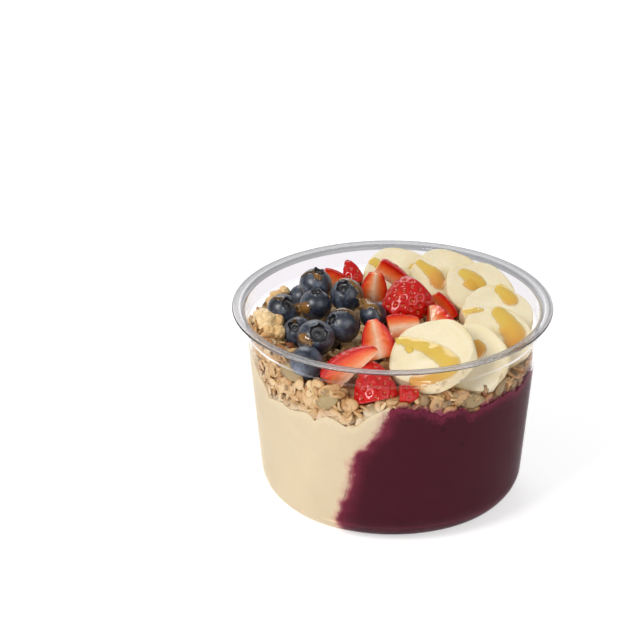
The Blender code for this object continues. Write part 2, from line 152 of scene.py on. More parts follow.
# ---- finishes --------------------------------------------------------------------------------------
class Finish:
    """A material on the standard shader, with one short call for each kind of node."""

    def __init__(self, name, **sockets):
        self.material = bpy.data.materials.new(name)
        self.material.use_nodes = True
        self.tree = self.material.node_tree
        self.shader = self.tree.nodes["Principled BSDF"]
        self.output = self.tree.nodes["Material Output"]
        self.set(self.shader, sockets)
        self.place = self.put("TexCoord").outputs["Object"]

    @staticmethod
    def set(node, sockets):
        for key, value in sockets.items():
            socket = node.inputs[key.replace("_", " ")]
            if socket.type == "RGBA":
                value = (*value, 1.0)
            socket.default_value = value

    def put(self, kind, **facts):
        node = self.tree.nodes.new("ShaderNode" + kind)
        for key, value in facts.items():
            setattr(node, key, value)
        return node

    def link(self, source, target):
        self.tree.links.new(source, target)

    def noise(self, scale, detail=3.0, roughness=0.5, place=None, distortion=0.0):
        node = self.put("TexNoise")
        self.set(node, {"Scale": scale, "Detail": detail, "Roughness": roughness, "Distortion": distortion})
        self.link(place or self.place, node.inputs["Vector"])
        return node.outputs["Fac"]

    def cells(self, scale):
        node = self.put("TexVoronoi")
        self.set(node, {"Scale": scale})
        self.link(self.place, node.inputs["Vector"])
        return node.outputs["Distance"]

    def attribute(self, name, output="Fac"):
        return self.put("Attribute", attribute_name=name).outputs[output]

    def ramp(self, factor, *stops):
        """Colours along a factor; stops are (position, colour)."""
        node = self.put("ValToRGB")
        elements = node.color_ramp.elements
        while len(elements) < len(stops):
            elements.new(0.5)
        for element, (position, colour) in zip(elements, stops):
            element.position = position
            element.color = (*colour, 1.0) if hasattr(colour, "__len__") else (colour, colour, colour, 1.0)
        self.link(factor, node.inputs["Fac"])
        return node.outputs["Color"]

    def mix(self, factor, first, second, blend="MIX"):
        node = self.put("Mix", data_type="RGBA", blend_type=blend)
        for socket, value in ((node.inputs[0], factor), (node.inputs[6], first), (node.inputs[7], second)):
            if isinstance(value, bpy.types.NodeSocket):
                self.link(value, socket)
            elif hasattr(value, "__len__"):
                socket.default_value = (*value[:3], 1.0)
            else:
                socket.default_value = value
        return node.outputs[2]

    def parts(self, vector=None):
        node = self.put("SeparateXYZ")
        self.link(vector or self.place, node.inputs[0])
        return node.outputs

    def joined(self, x, y):
        node = self.put("CombineXYZ")
        self.link(x, node.inputs[0])
        self.link(y, node.inputs[1])
        return node.outputs[0]

    def maths(self, operation, first, second=0.0, third=0.5, clamp=False):
        node = self.put("Math", operation=operation, use_clamp=clamp)
        for socket, value in zip(node.inputs, (first, second, third)):
            if isinstance(value, bpy.types.NodeSocket):
                self.link(value, socket)
            else:
                socket.default_value = value
        return node.outputs[0]

    def scaled(self, value, factor, shift, clamp=False):
        return self.maths("MULTIPLY_ADD", value, factor, shift, clamp)

    def plus(self, first, second, clamp=False):
        return self.maths("ADD", first, second, clamp=clamp)

    def times(self, first, second, clamp=False):
        return self.maths("MULTIPLY", first, second, clamp=clamp)

    def squares(self, x, y):
        return self.plus(self.times(x, x), self.times(y, y))

    def tinted(self, factor, first, second):
        return self.mix(factor, first, second, "MULTIPLY")

    def show_mix(self, factor, first, second):
        """Show two shaders mixed by a factor."""
        both = self.put("MixShader")
        for source, target in zip((factor, first, second), both.inputs):
            self.link(source, target)
        self.link(both.outputs[0], self.output.inputs["Surface"])

    def colour(self, value):
        self.link(value, self.shader.inputs["Base Color"])

    def rough(self, factor, low, high):
        node = self.put("MapRange")
        self.set(node, {"To Min": low, "To Max": high})
        self.link(factor, node.inputs["Value"])
        self.link(node.outputs[0], self.shader.inputs["Roughness"])

    def bump(self, height, distance, strength=1.0):
        node = self.put("Bump")
        self.set(node, {"Distance": distance, "Strength": strength})
        self.link(height, node.inputs["Height"])
        below = self.shader.inputs["Normal"]
        if below.is_linked:
            self.link(below.links[0].from_socket, node.inputs["Normal"])
        self.link(node.outputs["Normal"], below)


def dark(colour, share):
    return tuple(channel * share for channel in colour)


# ---- mesh helpers ----------------------------------------------------------------------------------
def linked(name, data):
    """A new object in the scene."""
    made = bpy.data.objects.new(name, data)
    bpy.context.scene.collection.objects.link(made)
    return made


def baked(name, bm):
    """A mesh made from a bmesh, which is freed."""
    mesh = bpy.data.meshes.new(name)
    bm.to_mesh(mesh)
    bm.free()
    return mesh


def as_piece(name, mesh, material, nodes):
    """Let a finished mesh ride on the bowl and stand for its nodes."""
    mesh.materials.append(material)
    piece = linked(name, mesh)
    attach(piece, "root")
    if nodes:
        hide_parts(*nodes)
    return piece


def tidied(bm):
    bmesh.ops.remove_doubles(bm, verts=bm.verts, dist=MERGE)
    bmesh.ops.recalc_face_normals(bm, faces=bm.faces)


def finish_piece(name, bm, material, slot, *nodes):
    """Turn a bmesh into a finished piece."""
    tidied(bm)
    for face in bm.faces:
        face.smooth = True
    return as_piece(name, baked(name, bm), material, nodes)


def shift_of(draw):
    """A seeded shift of a noise pattern."""
    return Vector((draw.uniform(0, 50), draw.uniform(0, 50), 0))


def smoothed(bm, rounds):
    for _ in range(rounds):
        bmesh.ops.smooth_vert(bm, verts=bm.verts, factor=0.5, use_axis_x=True, use_axis_y=True,
                              use_axis_z=True)


def cut_off(bm, point, normal):
    """Cut away what lies on the normal's side of a plane, and close the cut."""
    cut = bmesh.ops.bisect_plane(bm, geom=bm.verts[:] + bm.edges[:] + bm.faces[:], dist=MERGE,
                                 plane_co=point, plane_no=normal, clear_outer=True)
    bmesh.ops.holes_fill(bm, edges=[e for e in cut["geom_cut"] if isinstance(e, bmesh.types.BMEdge)])


def dropped(tree, x, y):
    """What lies straight below a point high above the bowl."""
    return tree.ray_cast(Vector((x, y, HIGH_ABOVE)), Vector((0, 0, -1)))


def radial(azimuth):
    return Vector((math.cos(math.radians(azimuth)), math.sin(math.radians(azimuth)), 0.0))


def middle_of(node):
    low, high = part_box(node)
    return (Vector(low) + Vector(high)) / 2


def spin_profile(points, steps):
    """Turn a chain of (radius, height) points about Z into a closed surface."""
    bm = bmesh.new()
    verts = [bm.verts.new((r, 0.0, z)) for r, z in points]
    edges = [bm.edges.new(pair) for pair in zip(verts, verts[1:])]
    bmesh.ops.spin(bm, geom=verts + edges, axis=(0, 0, 1), cent=(0, 0, 0), angle=2 * math.pi,
                   steps=steps, use_merge=True)
    bmesh.ops.remove_doubles(bm, verts=bm.verts, dist=1e-7)
    return bm


def arc(centre, radius, start, end, steps):
    """Points on an arc in the (radius, height) plane; angles in degrees."""
    points = []
    for i in range(steps + 1):
        a = math.radians(start + (end - start) * i / steps)
        points.append((centre[0] + radius * math.cos(a), centre[1] + radius * math.sin(a)))
    return points


def tree_of(*objects):
    """A search tree over the meshes of several finished pieces."""
    points, faces = [], []
    for obj in objects:
        start = len(points)
        points.extend(v.co.copy() for v in obj.data.vertices)
        faces.extend([start + i for i in polygon.vertices] for polygon in obj.data.polygons)
    return BVHTree.FromPolygons(points, faces)


def settings():
    return bpy.context.scene.bowl_sizes, bpy.context.scene.bowl_colours


# ---- tub -------------------------------------------------------------------------------------------
def heel_centre():
    slope = math.atan(WALL_TAPER)
    return BASE_WALL_RADIUS + WALL_TAPER * HEEL_RADIUS - HEEL_RADIUS / math.cos(slope), HEEL_RADIUS


def inner_wall(z, into=0.0):
    """Inner radius of the tub at a height, plus how far a filling reaches into the wall."""
    centre_r, centre_z = heel_centre()
    corner = HEEL_RADIUS - WALL + into
    if z < centre_z * 0.9:
        return centre_r + math.sqrt(max(corner ** 2 - (centre_z - z) ** 2, 0.0))
    step = LEDGE_STEP if z > LEDGE_HEIGHT + 0.25 * MM else 0.0
    return BASE_WALL_RADIUS + WALL_TAPER * z - WALL + step + into


def on_wall(azimuth, z, inset=0.0):
    """The place at an azimuth and a height that lies an inset inside the wall."""
    return radial(azimuth) * (inner_wall(z) - inset) + Vector((0, 0, z))


def tub_profile():
    centre = heel_centre()
    slope = math.degrees(math.atan(WALL_TAPER))
    neck = TUB_HEIGHT - 2.2 * MM

    def wall(z):
        return BASE_WALL_RADIUS + WALL_TAPER * z

    outside = [(0.0, BASE_LIFT), (0.006, BASE_LIFT), (0.0065, BASE_LIFT + 0.25 * MM)]
    outside += [(0.009, BASE_LIFT + 0.25 * MM), (0.0095, BASE_LIFT), (0.027, BASE_LIFT)]
    outside += [(FOOT_INNER_RADIUS - 1.0 * MM, BASE_LIFT), (FOOT_INNER_RADIUS - 0.3 * MM, 0.25 * MM),
                (FOOT_INNER_RADIUS, 0.0)]
    heel = arc(centre, HEEL_RADIUS, -90, -slope, 22)
    crease = 16
    for i, (r, z) in enumerate(heel):
        outside.append((r, z))
        if i == crease:
            outside.append((r + 0.13 * MM, z + 0.15 * MM))
    for share in (0.2, 0.4, 0.6, 0.8):
        z = heel[-1][1] + (LEDGE_HEIGHT - heel[-1][1]) * share
        outside.append((wall(z), z))
    outside += [(wall(LEDGE_HEIGHT - 0.3 * MM), LEDGE_HEIGHT - 0.3 * MM),
                (wall(LEDGE_HEIGHT) + 0.1 * MM, LEDGE_HEIGHT),
                (wall(LEDGE_HEIGHT) + LEDGE_STEP - 0.1 * MM, LEDGE_HEIGHT + 0.35 * MM),
                (wall(LEDGE_HEIGHT) + LEDGE_STEP, LEDGE_HEIGHT + 0.8 * MM)]
    out = wall(neck) + LEDGE_STEP
    under = TUB_HEIGHT - 0.85 * MM
    lip = [(out, neck)]
    lip += arc((out + 1.0 * MM, under - 1.0 * MM), 1.0 * MM, 180, 90, 5)
    lip += [(RIM_RADIUS - 1.2 * MM, under)]
    lip += arc((RIM_RADIUS - 0.42 * MM, TUB_HEIGHT - 0.43 * MM), 0.42 * MM, -90, 90, 8)
    lip += [(RIM_RADIUS - 1.6 * MM, TUB_HEIGHT - 0.06 * MM), (out + 1.3 * MM, TUB_HEIGHT - 0.12 * MM)]
    lip += arc((out + 0.9 * MM, TUB_HEIGHT - 1.75 * MM), 1.6 * MM, 90, 180, 7)
    inside = [(r - WALL, z) for r, z in reversed(outside) if r > centre[0] + 0.012]
    inside += arc(centre, HEEL_RADIUS - WALL, -slope - 2, -90, 18)[1:]
    inside += [(FOOT_INNER_RADIUS + 0.2 * MM, WALL), (FOOT_INNER_RADIUS - 0.9 * MM, BASE_LIFT + WALL),
               (0.0, BASE_LIFT + WALL)]
    return outside + lip + inside


def clear_plastic(name, ior, roughness, front, back, light_bands=()):
    """Thin clear plastic, which lets lamps and soft light through to what it holds.

    Front and back are its tints on the two sides of the tub, the back darker as painted shade; the
    bands are painted highlight and shade: shares of the tint, each at a distance (mm) from the axis.
    """
    plastic = Finish(name, Roughness=roughness, IOR=ior, Transmission_Weight=1.0)
    x, y, _ = plastic.parts()
    # painted shade: the back half of the tub is tinted darker than the front
    side = plastic.scaled(y, 22.0, 0.55, clamp=True)
    tint = plastic.ramp(side, (0.0, front), (1.0, back))
    # painted highlights and shade: lighter and darker bands across the lip, by distance from the axis
    if light_bands:
        first, span = light_bands[0][0], light_bands[-1][0] - light_bands[0][0]
        reach = plastic.maths("SQRT", plastic.squares(x, y))
        along_lip = plastic.scaled(reach, 1000.0 / span, -first / span)
        painted_band_light = plastic.ramp(along_lip, *[((r - first) / span, share) for r, share in light_bands])
        tint = plastic.tinted(1.0, tint, painted_band_light)
    plastic.colour(tint)
    plastic.rough(plastic.noise(260.0, 4.0, 0.6), roughness * 0.7, roughness * 1.3)
    plastic.bump(plastic.noise(60.0, 2.0, 0.4), 0.03 * MM, 0.3)
    paths = plastic.put("LightPath")
    passing = plastic.maths("MAXIMUM", paths.outputs["Is Shadow Ray"], paths.outputs["Is Diffuse Ray"])
    through = plastic.put("BsdfTransparent")
    plastic.set(through, {"Color": (0.97, 0.97, 0.98)})
    plastic.show_mix(passing, plastic.shader.outputs[0], through.outputs[0])
    return plastic.material


# painted highlight and shade bands across the lip: (distance from the axis in mm, share of the tint)
LIP_LIGHT_BANDS = ((53.4, 0.85), (54.4, 0.55), (55.3, 0.50), (55.8, 0.80), (56.2, 0.52), (57.0, 0.44),
             (57.7, 0.52), (58.1, 0.80), (58.6, 0.70))
# plastic of each part of the tub: name, index of refraction, roughness, front and back tint (the greyer
# lip and the darker back are painted shade), painted light bands
TUB_PLASTICS = (
    ("clear_wall", 1.03, 0.0, (0.95, 0.94, 0.96), (0.95, 0.94, 0.96)),
    ("clear_neck", 1.14, 0.03, (0.93, 0.92, 0.94), (0.73, 0.71, 0.745)),
    ("clear_lip", 1.38, 0.07, (0.86, 0.83, 0.85), (0.53, 0.53, 0.555), LIP_LIGHT_BANDS),
    ("clear_ledge", 1.22, 0.05, (0.88, 0.86, 0.89), (0.78, 0.77, 0.81)),
)


class BOWL_OT_tub(bpy.types.Operator):
    """Turn the clear tub with its lip, stacking ledge and round heel"""
    bl_idname = "bowl.tub"
    bl_label = "Tub"

    def execute(self, context):
        bm = spin_profile(tub_profile(), 192)
        neck, lip = LEDGE_HEIGHT - 0.4 * MM, TUB_HEIGHT - 2.4 * MM
        for face in bm.faces:
            z = face.calc_center_median().z
            on_ledge = LEDGE_HEIGHT - 0.1 * MM < z < LEDGE_HEIGHT + 0.9 * MM
            face.material_index = 2 if z > lip else 3 if on_ledge else int(z > neck)
        wall, *others = [clear_plastic(*facts) for facts in TUB_PLASTICS]
        shell = finish_piece("tub_shell", bm, wall, "tub", "tub")
        for plastic in others:
            shell.data.materials.append(plastic)
        return {"FINISHED"}


# ---- blends ----------------------------------------------------------------------------------------
SEAM_REST = -105.0  # azimuth (deg) at which the drum is cut before the seam is bent
BACK_SEAM = 78.0
SEAM_SPREAD = 30.0
BLEND_LEVEL = 52.0 * MM  # height at which the width of a blend's top is read
BARE_TOP = 50.0 * MM  # height of a top where no solid lies below
RIM_CLIMB = 0.7 * MM  # how far a blend climbs at the wall
SHARP_EDGE = math.radians(55.0)


def front_seam(z):
    """Azimuth (deg) of the seam on the front wall at a height (m)."""
    heights = [point[0] * MM for point in FRONT_SEAM]
    return float(np.interp(z, heights, [point[1] for point in FRONT_SEAM]))


def wrapped(angle):
    return (angle + 180.0) % 360.0 - 180.0


def seam_shift(azimuth, z):
    """How far (deg) the seam's bend carries a point of the cut drum along the wall."""
    front = wrapped(azimuth - SEAM_REST)
    back = wrapped(azimuth - BACK_SEAM)
    wobble = (1.1 * noise.noise(Vector((z * 160.0, 3.1, 0.0)))
              + 0.5 * noise.noise(Vector((z * 620.0, 7.7, 0.0))))
    shift = (front_seam(z) - SEAM_REST + wobble) * math.exp(-(front / SEAM_SPREAD) ** 2)
    return shift + 3.0 * noise.noise(Vector((z * 60.0, 0.0, 9.4))) * math.exp(-(back / SEAM_SPREAD) ** 2)


def drum_profile():
    floor = [(i / 8, 0.0) for i in range(8)]
    wall = [(1.0, i / 72) for i in range(73)]
    top = [(1.0 - i / 16, 1.0) for i in range(1, 17)]
    return floor + wall + top


# how far (mm) the granola has sunk into the pale blend along the wall: (azimuth in degrees, depth)
SUNKEN = ((-172.0, 0.0), (-160.0, 3.2), (-151.0, 4.6), (-144.0, 3.2), (-137.0, 3.8), (-130.0, 2.6),
          (-123.0, 5.8), (-116.5, 1.8), (-111.0, 5.8), (-107.0, 5.2), (-102.0, 2.4), (-96.0, 0.0))


def blend_top(tree, x, y):
    """Height of a blend's top: its solid's, read a little in from the wall, and made uneven."""
    reach = math.hypot(x, y)
    limit = 0.93 * inner_wall(BLEND_LEVEL)
    scale = min(1.0, limit / reach) if reach else 1.0
    hit = dropped(tree, x * scale, y * scale)[0]
    edge = min(1.0, max(0.0, reach / limit - 0.85) / 0.15)
    rough = (1.3 + 1.0 * edge) * noise.noise(Vector((x, y, 0.0)) * 150.0)
    rough += (0.8 + 1.0 * edge) * noise.noise(Vector((x, y, 0.3)) * 380.0)
    azimuth = math.degrees(math.atan2(y, x))
    rough -= edge * float(np.interp(azimuth, *zip(*SUNKEN), 0.0, 0.0))
    return hit.z + rough * MM if hit else None


def blend(name, side, material):
    """One blend: half of a drum, bent to the seam, with an uneven top, pressed against the wall."""
    bm = spin_profile(drum_profile(), 168)
    ends = [radial(SEAM_REST), radial(BACK_SEAM)]
    across = (ends[1] - ends[0]).normalized()
    outwards = Vector((across.y, -across.x, 0.0)) * -side  # away from the half that is kept
    cut_off(bm, ends[0], outwards)
    tree = tree_of(frame["nodes"]["cream_blend"], frame["nodes"]["acai_blend"])
    floor = BASE_LIFT + WALL + 0.1 * MM
    seam_layer = bm.verts.layers.float.new("seam")
    depth_layer = bm.verts.layers.float.new("depth")
    tops = {}
    for vert in bm.verts:
        x, y, level = vert.co
        reach, azimuth = math.hypot(x, y), math.degrees(math.atan2(y, x))
        key = (round(azimuth, 2), round(reach, 3))
        if key not in tops:
            shift = math.radians(azimuth + seam_shift(azimuth, BLEND_LEVEL) * reach ** 2)
            flat = Matrix.Rotation(shift, 3, "Z") @ Vector((reach * inner_wall(BLEND_LEVEL), 0, 0))
            height = blend_top(tree, flat.x, flat.y) or BARE_TOP
            tops[key] = height + (RIM_CLIMB if reach > 0.99 else 0.0)
        top = tops[key]
        z = floor + level * (top - floor)
        turned = azimuth + seam_shift(azimuth, z) * reach ** 2
        radius = reach * inner_wall(z, 0.15 * MM)
        vert.co = (radius * math.cos(math.radians(turned)), radius * math.sin(math.radians(turned)), z)
        front_gap = wrapped(azimuth - SEAM_REST)
        back_gap = wrapped(BACK_SEAM - azimuth)
        gap = front_gap if abs(front_gap) < abs(back_gap) else back_gap
        vert[seam_layer] = math.radians(gap) * 50.0
        vert[depth_layer] = (top - z) / MM
    bm.normal_update()
    for line in bm.edges:
        line.smooth = line.calc_face_angle(0.0) < SHARP_EDGE
    node = name.replace("_fill", "_blend")
    return finish_piece(name, bm, material, node, node)


def blend_finish(name, colours):
    """Both blends share one recipe, so the colour runs softly from one into the other."""
    pale, purple = colours.cream, colours.acai
    fill = Finish(name, Roughness=0.55, Specular_IOR_Level=0.10, Subsurface_Weight=0.30,
                  Subsurface_Scale=2.5 * MM, Subsurface_Radius=(1.0, 0.75, 0.5))
    wander = fill.noise(170.0, 4.0, 0.55)
    fine = fill.noise(900.0, 3.0, 0.6)
    offset = fill.plus(fill.scaled(wander, 6.0, -3.0), fill.scaled(fine, 1.6, -0.8))
    share = fill.scaled(fill.plus(fill.attribute("seam"), offset), 1.0 / 14.0, 0.5)
    body = fill.ramp(share, (0.0, pale), (0.30, dark(pale, 0.99)), (0.44, (0.60, 0.38, 0.28)),
                     (0.53, (0.33, 0.10, 0.11)), (0.62, (0.15, 0.016, 0.035)),
                     (0.82, (0.085, 0.008, 0.019)), (1.0, purple))
    cloud = fill.noise(45.0, 5.0, 0.6, distortion=0.6)
    body = fill.tinted(1.0, body, fill.ramp(cloud, (0.30, 0.94), (0.70, 1.04)))
    spots = fill.ramp(fill.cells(95.0), (0.04, 0.55), (0.13, 1.0))
    specks = fill.ramp(fill.cells(330.0), (0.05, 0.70), (0.10, 1.0))
    body = fill.tinted(fill.times(share, 0.75, clamp=True), body, spots)
    body = fill.tinted(0.35, body, specks)
    # painted shade and highlight: darker below about 6 mm where the heel curves under, and a painted light
    # line at the heel crease near 7 mm, mostly on the acai
    height = fill.scaled(fill.parts()[2], 1000.0, fill.times(wander, 0.3))
    crease = fill.ramp(fill.times(height, 0.1), (0.0, 0.35), (0.60, 0.50), (0.66, 0.60), (0.70, 1.0),
                       (0.73, 0.72), (0.80, 0.50))
    crease = fill.tinted(1.0, crease, (2.0, 2.0, 2.0))
    body = fill.tinted(fill.scaled(share, 0.75, 0.15, clamp=True), body, crease)
    # near the top: the acai turns pinker, its own colour, while the pale blend is painted lighter as
    # painted light against the shade under the granola
    edge = fill.plus(fill.attribute("depth"), fill.scaled(fine, 9.0, -4.5))
    near = fill.maths("SUBTRACT", 1.0, fill.times(edge, 0.26), clamp=True)
    front = fill.ramp(share, (0.50, (0.150, 0.013, 0.036)), (0.70, (0.23, 0.025, 0.055)),
                      (1.0, (0.185, 0.020, 0.050)))
    top_tone_and_light = fill.mix(fill.maths("GREATER_THAN", share, 0.55), dark(pale, 1.10), front)
    fill.colour(fill.mix(fill.times(near, 0.80), body, top_tone_and_light))
    fill.rough(cloud, 0.45, 0.60)
    return fill.material


class BOWL_OT_blends(bpy.types.Operator):
    """Pour the pale blend and the acai blend side by side"""
    bl_idname = "bowl.blends"
    bl_label = "Blends"

    def execute(self, context):
        colours = settings()[1]
        finish = blend_finish("blend", colours)
        blend("cream_fill", -1.0, finish)
        blend("acai_fill", 1.0, finish)
        return {"FINISHED"}


# ---- fruit -----------------------------------------------------------------------------------------
def facing(direction, turn=0.0):
    """Rotation that takes +Z to a direction after a turn about +Z (deg)."""
    z = Vector(direction).normalized()
    return z.to_track_quat("Z", "Y").to_matrix().to_4x4() @ Matrix.Rotation(math.radians(turn), 4, "Z")


def put_in_node(bm, node, rotation):
    """Turn a mesh and move it until its box sits on the middle of its solid's box."""
    bmesh.ops.transform(bm, matrix=rotation, verts=bm.verts)
    ways = [[vert.co[i] for vert in bm.verts] for i in range(3)]
    move = middle_of(node) - Vector([(max(way) + min(way)) / 2 for way in ways])
    bmesh.ops.translate(bm, verts=bm.verts, vec=move)
    return move


# diameter (mm), direction of the crown, its width as a share of the diameter
BLUEBERRY_CROWNS = {
    "blueberry_01": (12.4, (0.20, -0.15, 1.00), 0.34),
    "blueberry_02": (12.4, (-0.30, -0.50, 0.90), 0.42),
    "blueberry_03": (11.8, (0.05, -0.10, 1.00), 0.36),
    "blueberry_04": (11.8, (0.40, -0.62, 0.72), 0.44),
    "blueberry_05": (12.8, (-0.70, -0.45, 0.60), 0.33),
    "blueberry_06": (10.0, (0.30, 0.80, 0.20), 0.34),
    "blueberry_07": (10.8, (0.80, 0.40, -0.20), 0.34),
    "blueberry_08": (11.4, (-0.25, -0.60, 0.75), 0.38),
    "blueberry_09": (13.6, (0.20, -0.72, 0.68), 0.50),
    "blueberry_10": (12.4, (-0.50, 0.20, -0.60), 0.34),
    "blueberry_11": (10.4, (0.10, 0.90, 0.30), 0.34),
    "blueberry_12": (10.6, (0.60, 0.30, -0.60), 0.34),
}


def blueberry(node, finish, seed):
    """A berry turned round its crown: ball, swollen collar with five torn lobes, and a dark dish."""
    diameter, crown, wide = BLUEBERRY_CROWNS[node]
    radius = diameter / 2 * MM
    draw = random.Random(seed)
    shoulder = math.sqrt(1.0 - (wide + 0.12) ** 2) * 0.96
    profile = [(0.0, -0.955 * radius)]
    last = math.pi / 2 - math.asin(wide + 0.12)
    for i in range(1, 27):
        angle = -math.pi / 2 + (math.pi / 2 + last) * i / 26
        profile.append((radius * math.cos(angle), radius * math.sin(angle) * 0.96))
    for r, z in ((wide + 0.08, 0.020), (wide + 0.05, 0.050), (wide + 0.025, 0.100), (wide, 0.115),
                 (wide - 0.03, 0.085), (wide - 0.045, 0.010), (wide - 0.065, -0.075), (wide - 0.11, -0.115),
                 (0.5 * wide, -0.120), (0.25 * wide, -0.125), (0.10, -0.110), (0.055, -0.090),
                 (0.0, -0.085)):
        profile.append((radius * r, radius * (shoulder + z)))
    bm = spin_profile(profile, 72)
    crown_layer = bm.verts.layers.float.new("crown")
    phase = draw.uniform(0, 2 * math.pi)
    offset = shift_of(draw)
    for vert in bm.verts:
        r = math.hypot(vert.co.x, vert.co.y) / radius
        angle = math.atan2(vert.co.y, vert.co.x)
        z = vert.co.z / radius
        if z > 0.5 and r < wide + 0.12:
            vert[crown_layer] = 1.0 if r < wide - 0.02 else max(0.0, 1.0 - (r - wide + 0.02) / 0.10)
        else:
            vert[crown_layer] = -min(1.0, math.hypot(r, z - 0.9))
        lobe = 0.5 + 0.5 * math.cos(5 * angle + phase + 0.6 * math.sin(3 * angle))
        top = z > shoulder * 0.98 - 0.02
        collar = math.exp(-((r - wide) / 0.055) ** 2) if top else 0.0
        torn = noise.noise(Vector((math.cos(angle), math.sin(angle), 0.0)) * 4.5 + offset)
        ragged = noise.noise(vert.co / radius * 4.0 + offset)
        vert.co.z += radius * collar * (0.11 * lobe - 0.05 + 0.06 * ragged)
        inner = max(0.0, 1.0 - abs(r - wide + 0.02) / 0.12) if top or r < wide else 0.0
        stretch = 1.0 + collar * (0.16 * lobe - 0.06) + inner * 0.20 * torn
        vert.co.x *= stretch
        vert.co.y *= stretch
        dent = 0.035 * noise.noise(vert.co / radius * 1.1 + offset)
        dent += 0.008 * noise.noise(vert.co / radius * 5.0 + offset)
        vert.co *= 1.0 + min(dent, 0.012)
    put_in_node(bm, node, facing(crown, draw.uniform(0, 360)))
    return finish_piece(node + "_fruit", bm, finish, "blueberry", node)


def blueberry_skin(colours):
    skin = Finish("blueberry_skin", Specular_IOR_Level=0.55, Coat_Weight=0.45, Coat_Roughness=0.30)
    patches = skin.noise(150.0, 4.0, 0.6, distortion=0.8)
    grain = skin.noise(2600.0, 3.0, 0.7)
    streaks = skin.noise(620.0, 4.0, 0.65)
    bloom = skin.plus(skin.times(patches, 0.72), skin.times(streaks, 0.34))
    base = skin.ramp(bloom, (0.42, colours.blueberry), (0.51, (0.022, 0.028, 0.048)),
                     (0.59, (0.070, 0.090, 0.128)), (0.75, (0.200, 0.235, 0.295)))
    base = skin.tinted(0.6, base, skin.ramp(grain, (0.3, 0.4), (0.7, 1.35)))
    crown = skin.attribute("crown")
    lip = skin.ramp(crown, (0.0, 0.0), (0.25, 0.30), (0.60, 0.10), (0.75, 0.0))
    base = skin.mix(lip, base, (0.16, 0.19, 0.24))
    inside = skin.ramp(crown, (0.60, 0.0), (0.97, 1.0))
    dish = skin.ramp(streaks, (0.4, (0.006, 0.006, 0.009)), (0.7, (0.030, 0.028, 0.032)))
    base = skin.mix(inside, base, dish)
    skin.colour(base)
    skin.rough(bloom, 0.24, 0.52)
    skin.bump(streaks, 0.06 * MM, 0.5)
    skin.bump(grain, 0.02 * MM, 0.5)
    return skin.material


class BOWL_OT_blueberries(bpy.types.Operator):
    """Set a blueberry with its crown on every blueberry solid"""
    bl_idname = "bowl.blueberries"
    bl_label = "Blueberries"

    def execute(self, context):
        finish = blueberry_skin(settings()[1])
        for index, node in enumerate(named("blueberry_")):
            blueberry(node, finish, BLUEBERRY_SEED + index)
        return {"FINISHED"}


def berry_radius(t):
    """Radius of a whole strawberry at a share of its length, as a share of half its diameter."""
    return 1.67 * max(t, 0.0) ** 0.25 * max(1.0 - t, 0.0) ** 0.6


def strawberry_frame(tip, skin):
    z = Vector(tip).normalized()
    x = Vector(skin)
    x = (x - z * x.dot(z)).normalized()
    return Matrix((x, z.cross(x), z)).transposed().to_4x4()


def remeshed(bm, voxel):
    """The same closed mesh rebuilt from even small faces."""
    mesh = baked("rough", bm)
    rough = linked("rough", mesh)
    step = rough.modifiers.new("even", "REMESH")
    step.mode = "VOXEL"
    step.voxel_size = voxel
    bpy.context.view_layer.update()
    evaluated = rough.evaluated_get(bpy.context.evaluated_depsgraph_get())
    even = bmesh.new()
    even.from_mesh(evaluated.to_mesh())
    evaluated.to_mesh_clear()
    bpy.data.objects.remove(rough, do_unlink=True)
    bpy.data.meshes.remove(mesh)
    return even


def seed_places(length, diameter, pitch, phase):
    """Seeds on a whole berry in the spiral order of a real one: share of the length and angle."""
    places = []
    t = 0.05
    k = 0
    while t < 0.985:
        places.append((t, phase + k * math.pi * (3.0 - math.sqrt(5.0))))
        ring = 2 * math.pi * max(berry_radius(t) * diameter / 2, 0.8)
        t += pitch * pitch / ring / length
        k += 1
    return places


